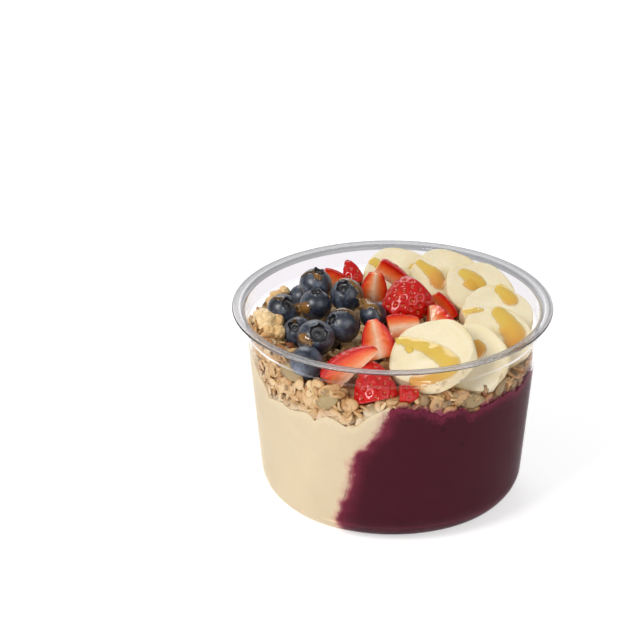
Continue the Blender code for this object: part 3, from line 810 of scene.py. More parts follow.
def strawberry(node, finish, seeds, seed_length, seed):
    """A wedge cut from a whole berry, with a pit and a seed at every place of its spiral."""
    length, diameter, wedge, span, tip, skin = STRAWBERRY_CUTS[node]
    draw = random.Random(seed)
    profile = [(0.0, 0.0)]
    for i in range(1, 48):
        t = (i / 48) ** 1.35
        profile.append((diameter / 2 * berry_radius(t) * MM, length * t * MM))
    profile.append((0.0, length * MM))
    bm = spin_profile(profile, 72)
    half = math.radians(wedge / 2)
    cuts = [((0, 0, length * span[0] * MM), (0, 0, -1)),
            ((0, 0, 0), (-math.sin(half), math.cos(half), 0)),
            ((0, 0, 0), (-math.sin(half), -math.cos(half), 0))]
    if span[1] < 1.0:
        cuts.append(((0, 0, length * span[1] * MM), (0, 0, 1)))
    for point, normal in cuts:
        cut_off(bm, point, normal)
    bmesh.ops.recalc_face_normals(bm, faces=bm.faces)
    bm = remeshed(bm, BERRY_VOXEL)
    smoothed(bm, 3)

    def depth_under_skin(point):
        """Depth as a share of the radius: 0 on the skin, 1 on the axis."""
        t = point.z / (length * MM)
        full = max(berry_radius(t) * diameter / 2 * MM, 1e-5)
        return 1.0 - math.hypot(point.x, point.y) / full

    kept = []
    for t, angle in seed_places(length, diameter, 2.9, draw.uniform(0, 6)):
        r = berry_radius(t) * diameter / 2 * MM
        point = Vector((r * math.cos(angle), r * math.sin(angle), t * length * MM))
        if all((point - Vector(p)).dot(Vector(n)) < -0.5 * MM for p, n in cuts):
            kept.append((t, angle, point))
    pits = KDTree(max(len(kept), 1))
    for index, (_, _, point) in enumerate(kept):
        pits.insert(point, index)
    pits.balance()
    bm.normal_update()
    under = bm.verts.layers.float.new("under")
    offset = shift_of(draw)
    moves = []
    for vert in bm.verts:
        depth = depth_under_skin(vert.co)
        vert[under] = depth
        cut_face = min(1.0, max(0.0, depth - 0.06) / 0.1)
        move = (0.12 + 0.20 * cut_face) * noise.noise(vert.co * 190.0 + offset)
        move += (0.05 + 0.06 * cut_face) * noise.noise(vert.co * 700.0 + offset)
        if depth < 0.12 and kept:
            _, _, away = pits.find(vert.co)
            move += 0.14 - 0.62 * math.exp(-(away / (0.72 * MM)) ** 2)
        moves.append(move * MM)
    for vert, move in zip(bm.verts, moves):
        vert.co += vert.normal * move
    rotation = strawberry_frame(tip, skin)
    shift = put_in_node(bm, node, rotation)
    place = Matrix.Translation(shift) @ rotation
    for t, angle, point in kept:
        slope = (berry_radius(t + 0.02) - berry_radius(t - 0.02)) * diameter / 2 / (0.04 * length)
        outward = Vector((math.cos(angle), math.sin(angle), -slope)).normalized()
        along = Vector((0, 0, 1)) - outward * outward.z
        along.normalize()
        basis = Matrix((along, outward.cross(along), outward)).transposed().to_4x4()
        size = seed_length / 2 * draw.uniform(0.85, 1.1)
        seeds.append((place @ Matrix.Translation(point - outward * 0.30 * MM) @ basis
                      @ Matrix.Diagonal((size, size * 0.62, size * 0.42, 1.0)), draw.random()))
    return finish_piece(node + "_cut", bm, finish, "strawberry", node)


def strawberry_flesh(colours):
    red = tuple(colours.strawberry)
    flesh = Finish("strawberry_flesh", Specular_IOR_Level=0.40, Subsurface_Weight=0.08,
                   Subsurface_Scale=1.2 * MM, Subsurface_Radius=(1.0, 0.35, 0.15), Coat_Weight=0.30,
                   Coat_Roughness=0.04)
    wander = flesh.noise(260.0, 4.0, 0.6)
    broad = flesh.noise(110.0, 2.0, 0.5)
    fibres = flesh.noise(900.0, 3.0, 0.6)
    depth = flesh.plus(flesh.attribute("under"), flesh.scaled(wander, 0.26, -0.13))
    depth = flesh.plus(depth, flesh.scaled(broad, 0.30, -0.15))
    body = flesh.ramp(depth, (0.0, red), (0.07, (0.56, 0.008, 0.003)), (0.18, (0.74, 0.035, 0.006)),
                      (0.38, (0.84, 0.105, 0.018)), (0.60, (0.87, 0.22, 0.065)), (0.84, (0.88, 0.42, 0.22)),
                      (1.0, (0.88, 0.56, 0.38)))
    body = flesh.tinted(0.35, body, flesh.ramp(fibres, (0.3, 0.72), (0.7, 1.12)))
    flesh.colour(body)
    flesh.rough(wander, 0.14, 0.34)
    flesh.bump(flesh.noise(330.0, 2.0, 0.5), 0.30 * MM, 0.5)
    flesh.bump(fibres, 0.08 * MM, 0.6)
    return flesh.material


STAIN_CLIMB = (3.2 * MM, 2.2 * MM)  # how far the pale blend and the acai wet what lies on them


def scattered(name, template, items, finish, slot, *nodes):
    """Joined copies of small templates: items are (template index, matrix, tint, stain height).

    The stain height is where a blend wets the copy: above zero for acai, below zero for the pale
    blend, and zero for none.
    """
    points, faces, tints, locals_, stains = [], [], [], [], []
    start = 0
    for which, matrix, tint, wet in items:
        shape, cells = template[which]
        place = np.array(matrix)
        placed = shape @ place[:3, :3].T + place[:3, 3]
        points.append(placed)
        faces.extend([[start + i for i in cell] for cell in cells])
        tints.append(np.full(len(shape), tint))
        locals_.append(shape)
        climb = STAIN_CLIMB[wet > 0]
        near = np.clip(1.0 - (placed[:, 2] - abs(wet)) / climb, 0.0, 1.0) * (np.sign(wet) if wet else 0.0)
        stains.append(near)
        start += len(shape)
    mesh = bpy.data.meshes.new(name)
    mesh.from_pydata(np.concatenate(points), [], faces)
    mesh.polygons.foreach_set("use_smooth", [True] * len(mesh.polygons))
    for key, values in (("tint", tints), ("stain", stains)):
        mesh.attributes.new(key, "FLOAT", "POINT").data.foreach_set("value", np.concatenate(values))
    local = mesh.attributes.new("local", "FLOAT_VECTOR", "POINT")
    local.data.foreach_set("vector", np.concatenate(locals_).ravel())
    return as_piece(name, mesh, finish, nodes)


def as_template(bm):
    """Points and faces of a small shape, to be copied many times."""
    tidied(bm)
    bm.verts.index_update()
    shape = (np.array([v.co[:] for v in bm.verts]), [[v.index for v in f.verts] for f in bm.faces])
    bm.free()
    return shape


def seed_template():
    """A tear-shaped seed about 2 long, 2 wide and 2 high, to be scaled."""
    bm = bmesh.new()
    bmesh.ops.create_uvsphere(bm, u_segments=8, v_segments=6, radius=1.0,
                              matrix=Matrix.Rotation(math.radians(90), 4, "Y"))
    for vert in bm.verts:
        taper = 1.0 - 0.35 * max(vert.co.x, 0.0)
        vert.co.y *= taper
        vert.co.z *= taper
    return as_template(bm)


def seed_shell():
    shell = Finish("strawberry_seed", Specular_IOR_Level=0.5, Coat_Weight=0.4, Coat_Roughness=0.15)
    shell.colour(shell.ramp(shell.attribute("tint"), (0.0, (0.42, 0.10, 0.015)), (0.5, (0.56, 0.20, 0.03)),
                            (1.0, (0.32, 0.03, 0.010))))
    shell.rough(shell.noise(3000.0), 0.25, 0.45)
    return shell.material


class BOWL_OT_strawberries(bpy.types.Operator):
    """Cut every strawberry piece from a whole berry and set its seeds"""
    bl_idname = "bowl.strawberries"
    bl_label = "Strawberries"

    def execute(self, context):
        sizes, colours = settings()
        finish = strawberry_flesh(colours)
        places = []
        for index, node in enumerate(named("strawberry_")):
            strawberry(node, finish, places, sizes.seed_length, STRAWBERRY_SEED + index)
        items = [(0, matrix, tint, 0.0) for matrix, tint in places]
        scattered("strawberry_seeds", [seed_template()], items, seed_shell(), "strawberry")
        return {"FINISHED"}


# radius (mm), direction of the face, turn (deg)
BANANA_CUTS = {
    "banana_slice_1": (16.0, (-0.26, -0.34, 0.90), 20),
    "banana_slice_2": (14.2, (0.00, -0.56, 0.83), 75),
    "banana_slice_3": (13.2, (0.10, -0.42, 0.90), 130),
    "banana_slice_4": (13.8, (0.19, -0.44, 0.88), 10),
    "banana_slice_5": (13.4, (0.18, -0.40, 0.90), 50),
    "banana_slice_6": (13.8, (0.12, -0.42, 0.90), 95),
    "banana_slice_7": (13.2, (0.10, -0.42, 0.90), 30),
}
SLICE_THICKNESS = 5.5 * MM


def banana_slice(node, finish, seed):
    """A slice with a soft edge, faintly five-sided, its faces dished and lightly torn by the knife."""
    radius_mm, face, turn = BANANA_CUTS[node]
    radius = radius_mm * MM
    draw = random.Random(seed)
    soft = 0.55 * MM
    low, high = -SLICE_THICKNESS, 0.0
    profile = [(radius * i / 14 * 0.955, low) for i in range(14)]
    profile += arc((radius - soft, low + soft), soft, -85, 0, 5)
    profile += [(radius + 0.10 * MM, low + SLICE_THICKNESS * share) for share in (0.3, 0.4, 0.5, 0.6, 0.7)]
    profile += arc((radius - soft, high - soft), soft, 0, 85, 5)
    profile += [(radius * i / 22 * 0.955, high) for i in range(21, -1, -1)]
    bm = spin_profile(profile, 96)
    local = bm.verts.layers.float_vector.new("local")
    offset = shift_of(draw)
    for vert in bm.verts:
        x, y, z = vert.co
        share = math.hypot(x, y) / radius
        angle = math.atan2(y, x)
        vert[local] = (x / radius, y / radius, z / SLICE_THICKNESS)
        around = Vector((math.cos(angle), math.sin(angle), 0))
        outline = 1.0 + 0.025 * (math.cos(5 * angle) - 1.0)
        outline += 0.008 * (noise.noise(around * 4 + offset) - 0.5)
        nicks = 0.010 * min(0.0, noise.noise(around * 11 + offset) + 0.15)
        outline += nicks * (1.0 if z > -1.5 * MM else 0.4)
        vert.co.x *= outline
        vert.co.y *= outline
        up = 1.0 if z > -SLICE_THICKNESS / 2 else -1.0
        lobes = 0.5 + 0.5 * math.cos(3 * angle + 0.6)
        heart = math.exp(-((share - 0.16 * lobes) / 0.13) ** 2)
        flat = max(0.0, 1.0 - (share / 0.95) ** 8)
        rib = 0.02 * math.cos(24 * angle + 2 * noise.noise(vert.co * 300.0 + offset))
        relief = rib * min(1.0, share * 1.5) - 0.22 * heart
        relief += 0.20 * noise.noise(vert.co * 170.0 + offset)
        relief += 0.07 * noise.noise(vert.co * 700.0 + offset)
        vert.co.z += up * relief * MM * flat
        vert.co.z += 0.25 * MM * math.sin(angle + 1.0) * share * share
    put_in_node(bm, node, facing(face, turn))
    return finish_piece(node + "_cut", bm, finish, "banana", node)


def banana_flesh(colours):
    pale = tuple(colours.banana)
    flesh = Finish("banana_flesh", Specular_IOR_Level=0.40, Subsurface_Weight=0.30,
                   Subsurface_Scale=2.0 * MM, Subsurface_Radius=(1.0, 0.75, 0.45))
    x, y, _ = flesh.parts(flesh.attribute("local", "Vector"))
    reach = flesh.maths("SQRT", flesh.squares(x, y))
    angle = flesh.maths("ARCTAN2", y, x)
    three = flesh.maths("COSINE", flesh.scaled(angle, 3.0, 0.5))
    wander = flesh.noise(220.0, 4.0, 0.6)
    broad = flesh.noise(75.0, 3.0, 0.5)
    fine = flesh.noise(1300.0, 3.0, 0.65)
    bent = flesh.plus(reach, flesh.scaled(wander, 0.16, -0.08))
    bent = flesh.plus(bent, flesh.times(three, -0.05))
    body = flesh.ramp(bent, (0.0, (0.80, 0.66, 0.40)), (0.10, (0.83, 0.71, 0.44)),
                      (0.24, (0.89, 0.79, 0.53)), (0.36, pale), (0.80, (0.94, 0.84, 0.60)),
                      (0.90, (0.95, 0.86, 0.64)), (1.0, (0.88, 0.75, 0.48)))
    body = flesh.tinted(0.8, body, flesh.ramp(broad, (0.35, (0.93, 0.90, 0.80)), (0.65, (1.0, 1.0, 1.0))))
    rays = flesh.noise(5.0, 2.0, 0.5, place=flesh.joined(flesh.times(angle, 3.0), flesh.times(reach, 0.5)))
    body = flesh.tinted(0.25, body, flesh.ramp(rays, (0.35, 0.93), (0.65, 1.03)))
    body = flesh.tinted(0.35, body, flesh.ramp(fine, (0.3, 0.84), (0.7, 1.06)))
    rim = flesh.maths("GREATER_THAN", reach, 0.955)
    rim = flesh.times(rim, flesh.ramp(wander, (0.60, 0.0), (0.70, 0.55)))
    body = flesh.mix(rim, body, (0.42, 0.22, 0.07))
    flesh.colour(body)
    flesh.rough(wander, 0.30, 0.48)
    flesh.bump(fine, 0.10 * MM, 0.5)
    return flesh.material


class BOWL_OT_banana(bpy.types.Operator):
    """Lay a slice of banana on every slice solid"""
    bl_idname = "bowl.banana"
    bl_label = "Banana slices"

    def execute(self, context):
        finish = banana_flesh(settings()[1])
        for index, node in enumerate(named("banana_slice_")):
            banana_slice(node, finish, BANANA_SEED + index)
        return {"FINISHED"}


# ---- granola ---------------------------------------------------------------------------------------
def flake_template(draw, length, width, thickness, curl):
    """A rolled oat: a thick oval with a rounded rim, a crease along its middle and a slight curl."""
    bm = bmesh.new()
    bmesh.ops.create_uvsphere(bm, u_segments=14, v_segments=6, radius=1.0)
    phase = draw.uniform(0, 6)
    for vert in bm.verts:
        x, y, z = vert.co
        angle, reach = math.atan2(y, x), math.hypot(x, y)
        outline = 1.0 + 0.05 * math.sin(2 * angle + phase) + 0.04 * math.sin(3 * angle + 2 * phase)
        nick = -0.10 * math.exp(-((wrapped(math.degrees(angle)) / 20.0) ** 2))
        x, y = x * (outline + nick), y * outline
        plump = math.copysign(abs(z) ** 0.65, z) * (0.70 + 0.45 * math.exp(-((reach - 0.80) / 0.20) ** 2))
        crease = 0.40 * math.exp(-(y / 0.18) ** 2)
        z = plump * (1.0 - crease if z > 0 else 1.0)
        bend = curl * (x * x * 0.5 + y * y) + 0.20 * curl * math.sin(2 * x + phase)
        vert.co = (x * length / 2, y * width / 2, z * thickness / 2 + bend * length / 2)
    return as_template(bm)


def sliver_template(draw):
    """A broken flake seen as a thin bent splinter."""
    bm = bmesh.new()
    bmesh.ops.create_uvsphere(bm, u_segments=8, v_segments=5, radius=1.0)
    bend = draw.uniform(-0.25, 0.25)
    for vert in bm.verts:
        x, y, z = vert.co
        vert.co = (x * 2.6 * MM, (y * 0.75 + bend * x * x) * MM, (z * 0.32 + 0.2 * bend * x * x) * MM)
    return as_template(bm)


def crumb_template(draw, size):
    bm = bmesh.new()
    bmesh.ops.create_icosphere(bm, subdivisions=2, radius=1.0)
    offset = shift_of(draw)
    for vert in bm.verts:
        vert.co *= 1.0 + 0.42 * noise.noise(vert.co * 1.3 + offset)
        vert.co = Vector((vert.co.x, vert.co.y * 0.8, vert.co.z * 0.65)) * size * MM
    return as_template(bm)


def grain_template(draw):
    """A plump toasted grain or small oat lump, with a shallow groove."""
    bm = bmesh.new()
    bmesh.ops.create_icosphere(bm, subdivisions=2, radius=1.0)
    offset = shift_of(draw)
    wide = draw.uniform(0.78, 1.0)
    for vert in bm.verts:
        p = vert.co.copy()
        swell = 1.0 + 0.20 * noise.noise(p * 1.1 + offset)
        groove = 1.0 - 0.16 * math.exp(-(p.y / 0.22) ** 2) * max(p.z, 0.0)
        vert.co = Vector((p.x, p.y * wide, p.z * 0.85)) * swell * groove * 2.05 * MM
    return as_template(bm)


def pumpkin_seed_template():
    """A hulled seed: a flat tear with a fine ridge round its edge."""
    bm = bmesh.new()
    bmesh.ops.create_uvsphere(bm, u_segments=16, v_segments=8, radius=1.0)
    for vert in bm.verts:
        x, y, z = vert.co
        taper = 1.0 - 0.30 * x - 0.14 * x * x
        edge = math.hypot(x, y)
        flat = z * (0.80 + 0.25 * math.exp(-((edge - 0.86) / 0.08) ** 2))
        vert.co = (x * 5.2 * MM, y * taper * 3.1 * MM, flat * 1.05 * MM * (1.0 - 0.25 * x))
    return as_template(bm)


def nodule_template(draw):
    """A knobbly lump of baked oats and syrup."""
    bm = bmesh.new()
    bmesh.ops.create_icosphere(bm, subdivisions=4, radius=1.0)
    offset = shift_of(draw)
    for vert in bm.verts:
        p = vert.co.copy()
        lump = 0.30 * noise.noise(p * 1.1 + offset) + 0.16 * noise.noise(p * 2.6 + offset)
        cell = noise.voronoi(p * 1.6 + offset)[0]
        vert.co = p * (1.0 + lump - 0.22 * (cell[1] - cell[0] < 0.10) * (1 - (cell[1] - cell[0]) / 0.10))
    return as_template(bm)


def fruit_pieces():
    """Every finished piece of fruit by the name of its solid."""
    nodes = named("blueberry_") + named("strawberry_") + named("banana_slice_")
    endings = {"blueberry": "_fruit", "strawberry": "_cut", "banana": "_cut"}
    return {node: bpy.data.objects[node + endings[node.split("_")[0]]] for node in nodes}


class Heap:
    """The granola's surface, and the room that fruit and wall leave round it."""

    def __init__(self, fruit):
        self.solid = tree_of(frame["nodes"]["granola"])
        self.fruit = [tree_of(piece) for piece in fruit]
        self.fills = tree_of(bpy.data.objects["cream_fill"], bpy.data.objects["acai_fill"])
        self.bands = {}

    def band(self, azimuth):
        """Height of the blends and of the heap just inside the wall."""
        key = round(azimuth)
        if key not in self.bands:
            probe = radial(key) * inner_wall(55 * MM) * 0.955
            low = dropped(self.fills, probe.x, probe.y)[0]
            high = self.top(probe.x, probe.y)[0]
            self.bands[key] = (low.z, high.z) if low and high else (None, None)
        return self.bands[key]

    @staticmethod
    def over_acai(azimuth):
        return -94.0 < azimuth < BACK_SEAM

    def wet(self, azimuth, low):
        return (low if self.over_acai(azimuth) else -low) if low else 0.0

    def share(self, side, azimuth):
        return (0.12, 1.0)[self.over_acai(azimuth) == (side == "grains")]

    def top(self, x, y):
        return dropped(self.solid, x, y)[:2]

    def inside_fruit(self, point, margin=0.0):
        for tree in self.fruit:
            near, normal, _, distance = tree.find_nearest(point, 9 * MM)
            if near is not None and ((point - near).dot(normal) < 0 or distance < margin):
                return True
        return False

    def covered(self, point, room):
        """True where fruit lies close above a point."""
        up = Vector((0, 0, 1))
        return any(tree.ray_cast(point, up, room)[0] is not None for tree in self.fruit)


def oriented(place, normal, draw, tilt, turn=None, size=1.0):
    """A matrix that lays a template on a normal, turned about it and tipped by about tilt degrees.

    A turn of 0 puts the template's length level.
    """
    lean = Matrix.Rotation(math.radians(draw.gauss(0, tilt)), 4, "X") @ Matrix.Rotation(
        math.radians(draw.gauss(0, tilt)), 4, "Y")
    spin = Matrix.Rotation(draw.uniform(0, 2 * math.pi) if turn is None else math.radians(turn), 4, "Z")
    z = Vector(normal).normalized()
    x = Vector((0, 0, 1)).cross(z)
    x = x.normalized() if x.length > 1e-3 else Vector((1, 0, 0))
    base = Matrix((x, z.cross(x), z)).transposed().to_4x4()
    return Matrix.Translation(place) @ base @ lean @ spin @ Matrix.Scale(size, 4)


def fitted(items, templates):
    """Keep every copy inside the wall by easing its middle inwards."""
    kept = []
    for which, matrix, tint, wet in items:
        shape = templates[which][0]
        place = np.array(matrix)
        for _ in range(6):
            points = shape @ place[:3, :3].T + place[:3, 3]
            reach = np.hypot(points[:, 0], points[:, 1])
            limit = np.array([inner_wall(z) for z in points[:, 2]]) - 0.05 * MM
            over = float((reach - limit).max())
            if over <= 0.0:
                break
            middle = place[:2, 3]
            place[:2, 3] = middle * (1.0 - (over + 0.02 * MM) / max(np.hypot(*middle), 1e-6))
        kept.append((which, Matrix(place.tolist()), tint, wet))
    return kept


def spaced(candidates, spacing):
    """Keep the candidates that lie at least a spacing from every one kept before."""
    kept = []
    for place, *rest in candidates:
        if all((place - other[0]).length > spacing for other in kept):
            kept.append((place, *rest))
    return kept


def wall_places(draw, heap, tries, spacing, depth, side):
    """Spaced places on the band of granola that shows through the wall, with the way out.

    side is "oats" or "grains": more of the one lies over the pale blend, more of the other over acai.
    """
    large = [(on_wall(azimuth, z * MM), ROOM.get(kind, 0.0) * size * MM)
             for kind, bits in WALL_BITS.items() for azimuth, z, _, size in bits]
    found = []
    for _ in range(tries):
        azimuth = draw.uniform(-180, 180)
        if draw.random() > heap.share(side, azimuth):
            continue
        flat = radial(azimuth)
        low, high = heap.band(azimuth)
        if low is None:
            continue
        z = draw.uniform(low - 1.0 * MM, max(high, low + 2 * MM) + 0.5 * MM)
        place = on_wall(azimuth, z, draw.uniform(*depth))
        at_wall = on_wall(azimuth, z)
        if depth[0] < NEAR_WALL and any((at_wall - middle).length < room for middle, room in large):
            continue
        if heap.inside_fruit(place, 0.3 * MM):
            continue
        found.append((place, flat, heap.wet(azimuth, low)))
    return spaced(found, spacing)


def top_places(draw, heap, tries, spacing, lift):
    """Spaced places on the open top of the heap, clear of the big clusters, with the surface's normal."""
    clusters = [(Vector((x, y)) * MM, size * MM) for x, y, _, _, size in TOP_BITS["cluster"]]
    found = []
    for _ in range(tries):
        reach = inner_wall(60 * MM) * math.sqrt(draw.random()) * 0.965
        turned = draw.uniform(0, 2 * math.pi)
        x, y = reach * math.cos(turned), reach * math.sin(turned)
        if any((Vector((x, y)) - middle).length < size + 0.6 * MM for middle, size in clusters):
            continue
        hit, normal = heap.top(x, y)
        if hit is None:
            continue
        place = hit + Vector((0, 0, draw.uniform(*lift)))
        if heap.inside_fruit(place, 0.4 * MM) or heap.covered(place, 2.5 * MM):
            continue
        found.append((place, (normal + Vector((0, 0, 1.2))).normalized(), 0.0))
    return spaced(found, spacing)


def granola_core(finish):
    """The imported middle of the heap, well inside its solid, with a crumbly surface."""
    bm = bmesh.new()
    bm.from_mesh(frame["nodes"]["granola"].data)
    bmesh.ops.remove_doubles(bm, verts=bm.verts, dist=SOLID_MERGE)
    even = remeshed(bm, CORE_VOXEL)
    smoothed(even, 2)
    even.normal_update()
    moves = []
    for vert in even.verts:
        lump = noise.noise(vert.co * 330.0) * 0.8 + noise.noise(vert.co * 800.0) * 0.45
        level = vert.normal.z
        inward = 1.9 if abs(level) < 0.5 else 1.1
        moves.append(vert.normal * (lump - inward) * MM if level > -0.5 else Vector((0, 0, 0)))
    for vert, move in zip(even.verts, moves):
        vert.co += move
    return finish_piece("granola_core", even, finish, "granola", "granola")


def toasted(name, light, mid, deep, gloss=0.15, oval=None):
    """A baked finish: colour from piece to piece, fine bran, a faint glaze, and the blends' colour
    where they wet it. An oval's half length and half width (mm) give it a crease and a browner rim."""
    crust = Finish(name, Specular_IOR_Level=0.4, Coat_Weight=gloss, Coat_Roughness=0.3,
                   Subsurface_Weight=0.10, Subsurface_Scale=1.0 * MM, Subsurface_Radius=(1.0, 0.7, 0.4))
    # tint carries random tone from piece to piece and painted shade on the bits that lie deeper
    tint = crust.attribute("tint")
    patches = crust.noise(420.0, 4.0, 0.6)
    bran = crust.noise(1700.0, 3.0, 0.7)
    pick = crust.plus(crust.times(tint, 0.70), crust.times(patches, 0.45))
    body = crust.ramp(pick, (0.15, light), (0.52, mid), (1.0, deep))
    body = crust.tinted(0.40, body, crust.ramp(bran, (0.3, 0.74), (0.7, 1.10)))
    if oval:
        x, y, _ = crust.parts(crust.attribute("local", "Vector"))
        line = crust.ramp(crust.times(crust.maths("ABSOLUTE", y), 1400.0), (0.0, 0.70), (0.45, 1.0))
        body = crust.tinted(crust.times(tint, 0.7), body, line)
        x, y = crust.maths("DIVIDE", x, oval[0] * MM), crust.maths("DIVIDE", y, oval[1] * MM)
        reach = crust.squares(x, y)
        reach = crust.plus(reach, crust.scaled(patches, 1.2, -0.6))
        rim = crust.ramp(reach, (0.25, (1.06, 1.05, 1.04)), (0.62, (0.96, 0.86, 0.72)),
                         (1.0, (0.80, 0.56, 0.33)))
        body = crust.tinted(0.9, body, rim)
    stain = crust.attribute("stain")
    rough = crust.times(crust.maths("SUBTRACT", patches, 0.5), 1.2)
    acai = crust.plus(stain, crust.times(rough, stain), clamp=True)
    pale = crust.times(crust.plus(stain, crust.times(rough, stain)), -1.0, clamp=True)
    body = crust.mix(acai, body, (0.26, 0.035, 0.075))
    body = crust.mix(pale, body, (0.80, 0.65, 0.44))
    crust.colour(body)
    crust.rough(patches, 0.38, 0.62)
    crust.bump(bran, 0.08 * MM, 0.6)
    return crust.material


# larger bits that lie against the wall, by kind: azimuth (deg), height (mm), turn (deg), size
WALL_BITS = {
    "pumpkin_seed": (
        (-135, 64.2, -12, 1.05), (-118, 57.2, 25, 0.95), (-56, 56.2, -8, 0.92), (-41, 57.4, 30, 0.75),
        (-98, 56.6, 20, 0.85), (12, 57.0, 10, 0.9), (48, 56.5, -20, 0.9), (110, 57.5, 15, 1.0),
        (158, 62.0, -30, 1.0), (-172, 60.5, 40, 0.9),
    ),
    "grain": (
        (-69, 57.2, 0, 1.18), (-60, 55.8, 40, 1.12), (-78, 59.3, 80, 1.15), (-83, 54.4, 10, 1.0),
        (-44, 53.6, 0, 0.95), (-37, 53.6, 30, 1.05), (-31, 55.0, 60, 1.0), (-65, 60.3, 10, 0.7),
        (-50, 59.0, 70, 0.8), (-24, 54.5, 20, 0.9), (-16, 55.5, 70, 1.05), (-5, 54.0, 0, 0.95),
    ),
    "roasted_bit": (
        (-50, 57.6, 5, 0.8), (-71, 53.2, 0, 0.5), (24, 56.5, 50, 0.8), (138, 58.0, 20, 0.9),
        (-150, 60.0, 20, 0.55),
    ),
    "oat_flake": (
        (-125, 56.2, 80, 0.95), (-131, 61.0, 60, 0.9), (-129, 52.6, 85, 0.8), (-142, 56.3, 40, 0.95),
        (-108, 57.4, 30, 0.9), (-134, 51.6, 5, 0.95), (-120, 51.6, 75, 1.0), (-127, 56.8, 110, 1.05),
        (-138, 60.4, 20, 0.95),
    ),
    "oat_sliver": (
        (-121.5, 47.6, 60, 0.95), (-110, 50.2, 140, 0.9),
    ),
}
NEAR_WALL = 1.5 * MM  # layers nearer the wall than this keep clear of those bits
ROOM = {"pumpkin_seed": 3.6, "grain": 2.8, "oat_flake": 2.6}  # what each keeps clear round it (mm)
# what lies on top near the berries, by kind: x, y, z (mm), turn (deg), size
TOP_BITS = {
    "cluster": (
        (-47.0, -4.6, 71.0, 0, 3.6), (-46.0, -9.6, 70.2, 40, 4.8), (-42.8, -6.8, 70.4, 90, 3.5),
        (-45.6, -14.2, 68.6, 10, 3.6), (-42.0, -12.4, 68.8, 200, 3.1), (-48.6, 0.4, 69.4, 80, 2.4),
        (-39.8, 27.6, 67.0, 60, 2.1), (-42.6, 25.2, 66.4, 130, 2.3), (-44.6, 22.6, 65.2, 20, 2.2),
        (-40.6, 23.0, 65.6, 80, 1.9), (-45.8, 17.0, 62.6, 80, 2.4),
    ),
    "pumpkin_seed": (
        (-40.2, -11.2, 66.6, 70, 0.85), (-41.6, -5.0, 66.9, 100, 0.8),
    ),
    "roasted_bit": (
        (-37.6, -16.6, 65.6, 0, 1.0), (-40.2, -17.6, 64.8, 60, 0.9), (-36.0, 29.5, 64.4, 0, 0.8),
    ),
    "oat_sliver": (
        (-36.6, -24.6, 67.6, 25, 1.1),
    ),
    "oat_flake": (
        (-42.8, -21.4, 66.4, 10, 1.0), (-39.2, -27.4, 65.0, 50, 1.0),
    ),
}


# layers behind the wall: side, kind, spacing (mm), depth behind the wall (mm), tilt (deg)
WALL_LAYERS = (
    ("oats", "oat_flake", 5.3, (0.6, 1.1), 17), ("oats", "oat_flake", 3.9, (1.4, 2.2), 30),
    ("oats", "oat_flake", 3.2, (2.4, 3.6), 38), ("oats", "oat_flake", 3.2, (4.0, 5.2), 40),
    ("oats", "oat_sliver", 3.7, (0.4, 1.0), 18), ("grains", "grain", 3.9, (1.9, 2.6), 50),
    ("grains", "oat_flake", 6.6, (0.8, 1.6), 25), ("grains", "grain", 3.4, (3.6, 4.6), 50),
    ("grains", "oat_sliver", 7.0, (0.5, 1.2), 30),
)
CRUMB_LAYERS = (("oats", 2.8), ("grains", 2.4))  # the same for crumbs: side, spacing (mm)
# layers on top: kind, spacing (mm), height over the heap (mm), tilt (deg)
TOP_LAYERS = (
    ("oat_flake", 3.0, (-0.8, 0.3), 18), ("oat_flake", 3.6, (0.2, 1.2), 24),
    ("oat_sliver", 4.4, (0.6, 1.5), 22), ("grain", 6.5, (-0.4, 0.6), 40), ("crumb", 1.9, (-0.2, 0.9), 60),
)
WALL_TRIES, CRUMB_TRIES, TOP_TRIES = 2600, 1500, 1800
FLAKE_SIZES = (0.96, 0.90, 0.84, 0.78, 0.68)  # shares of the longest flake
TOP_NORMAL = Vector((-0.1, -0.45, 0.9))  # which way the placed bits on top look


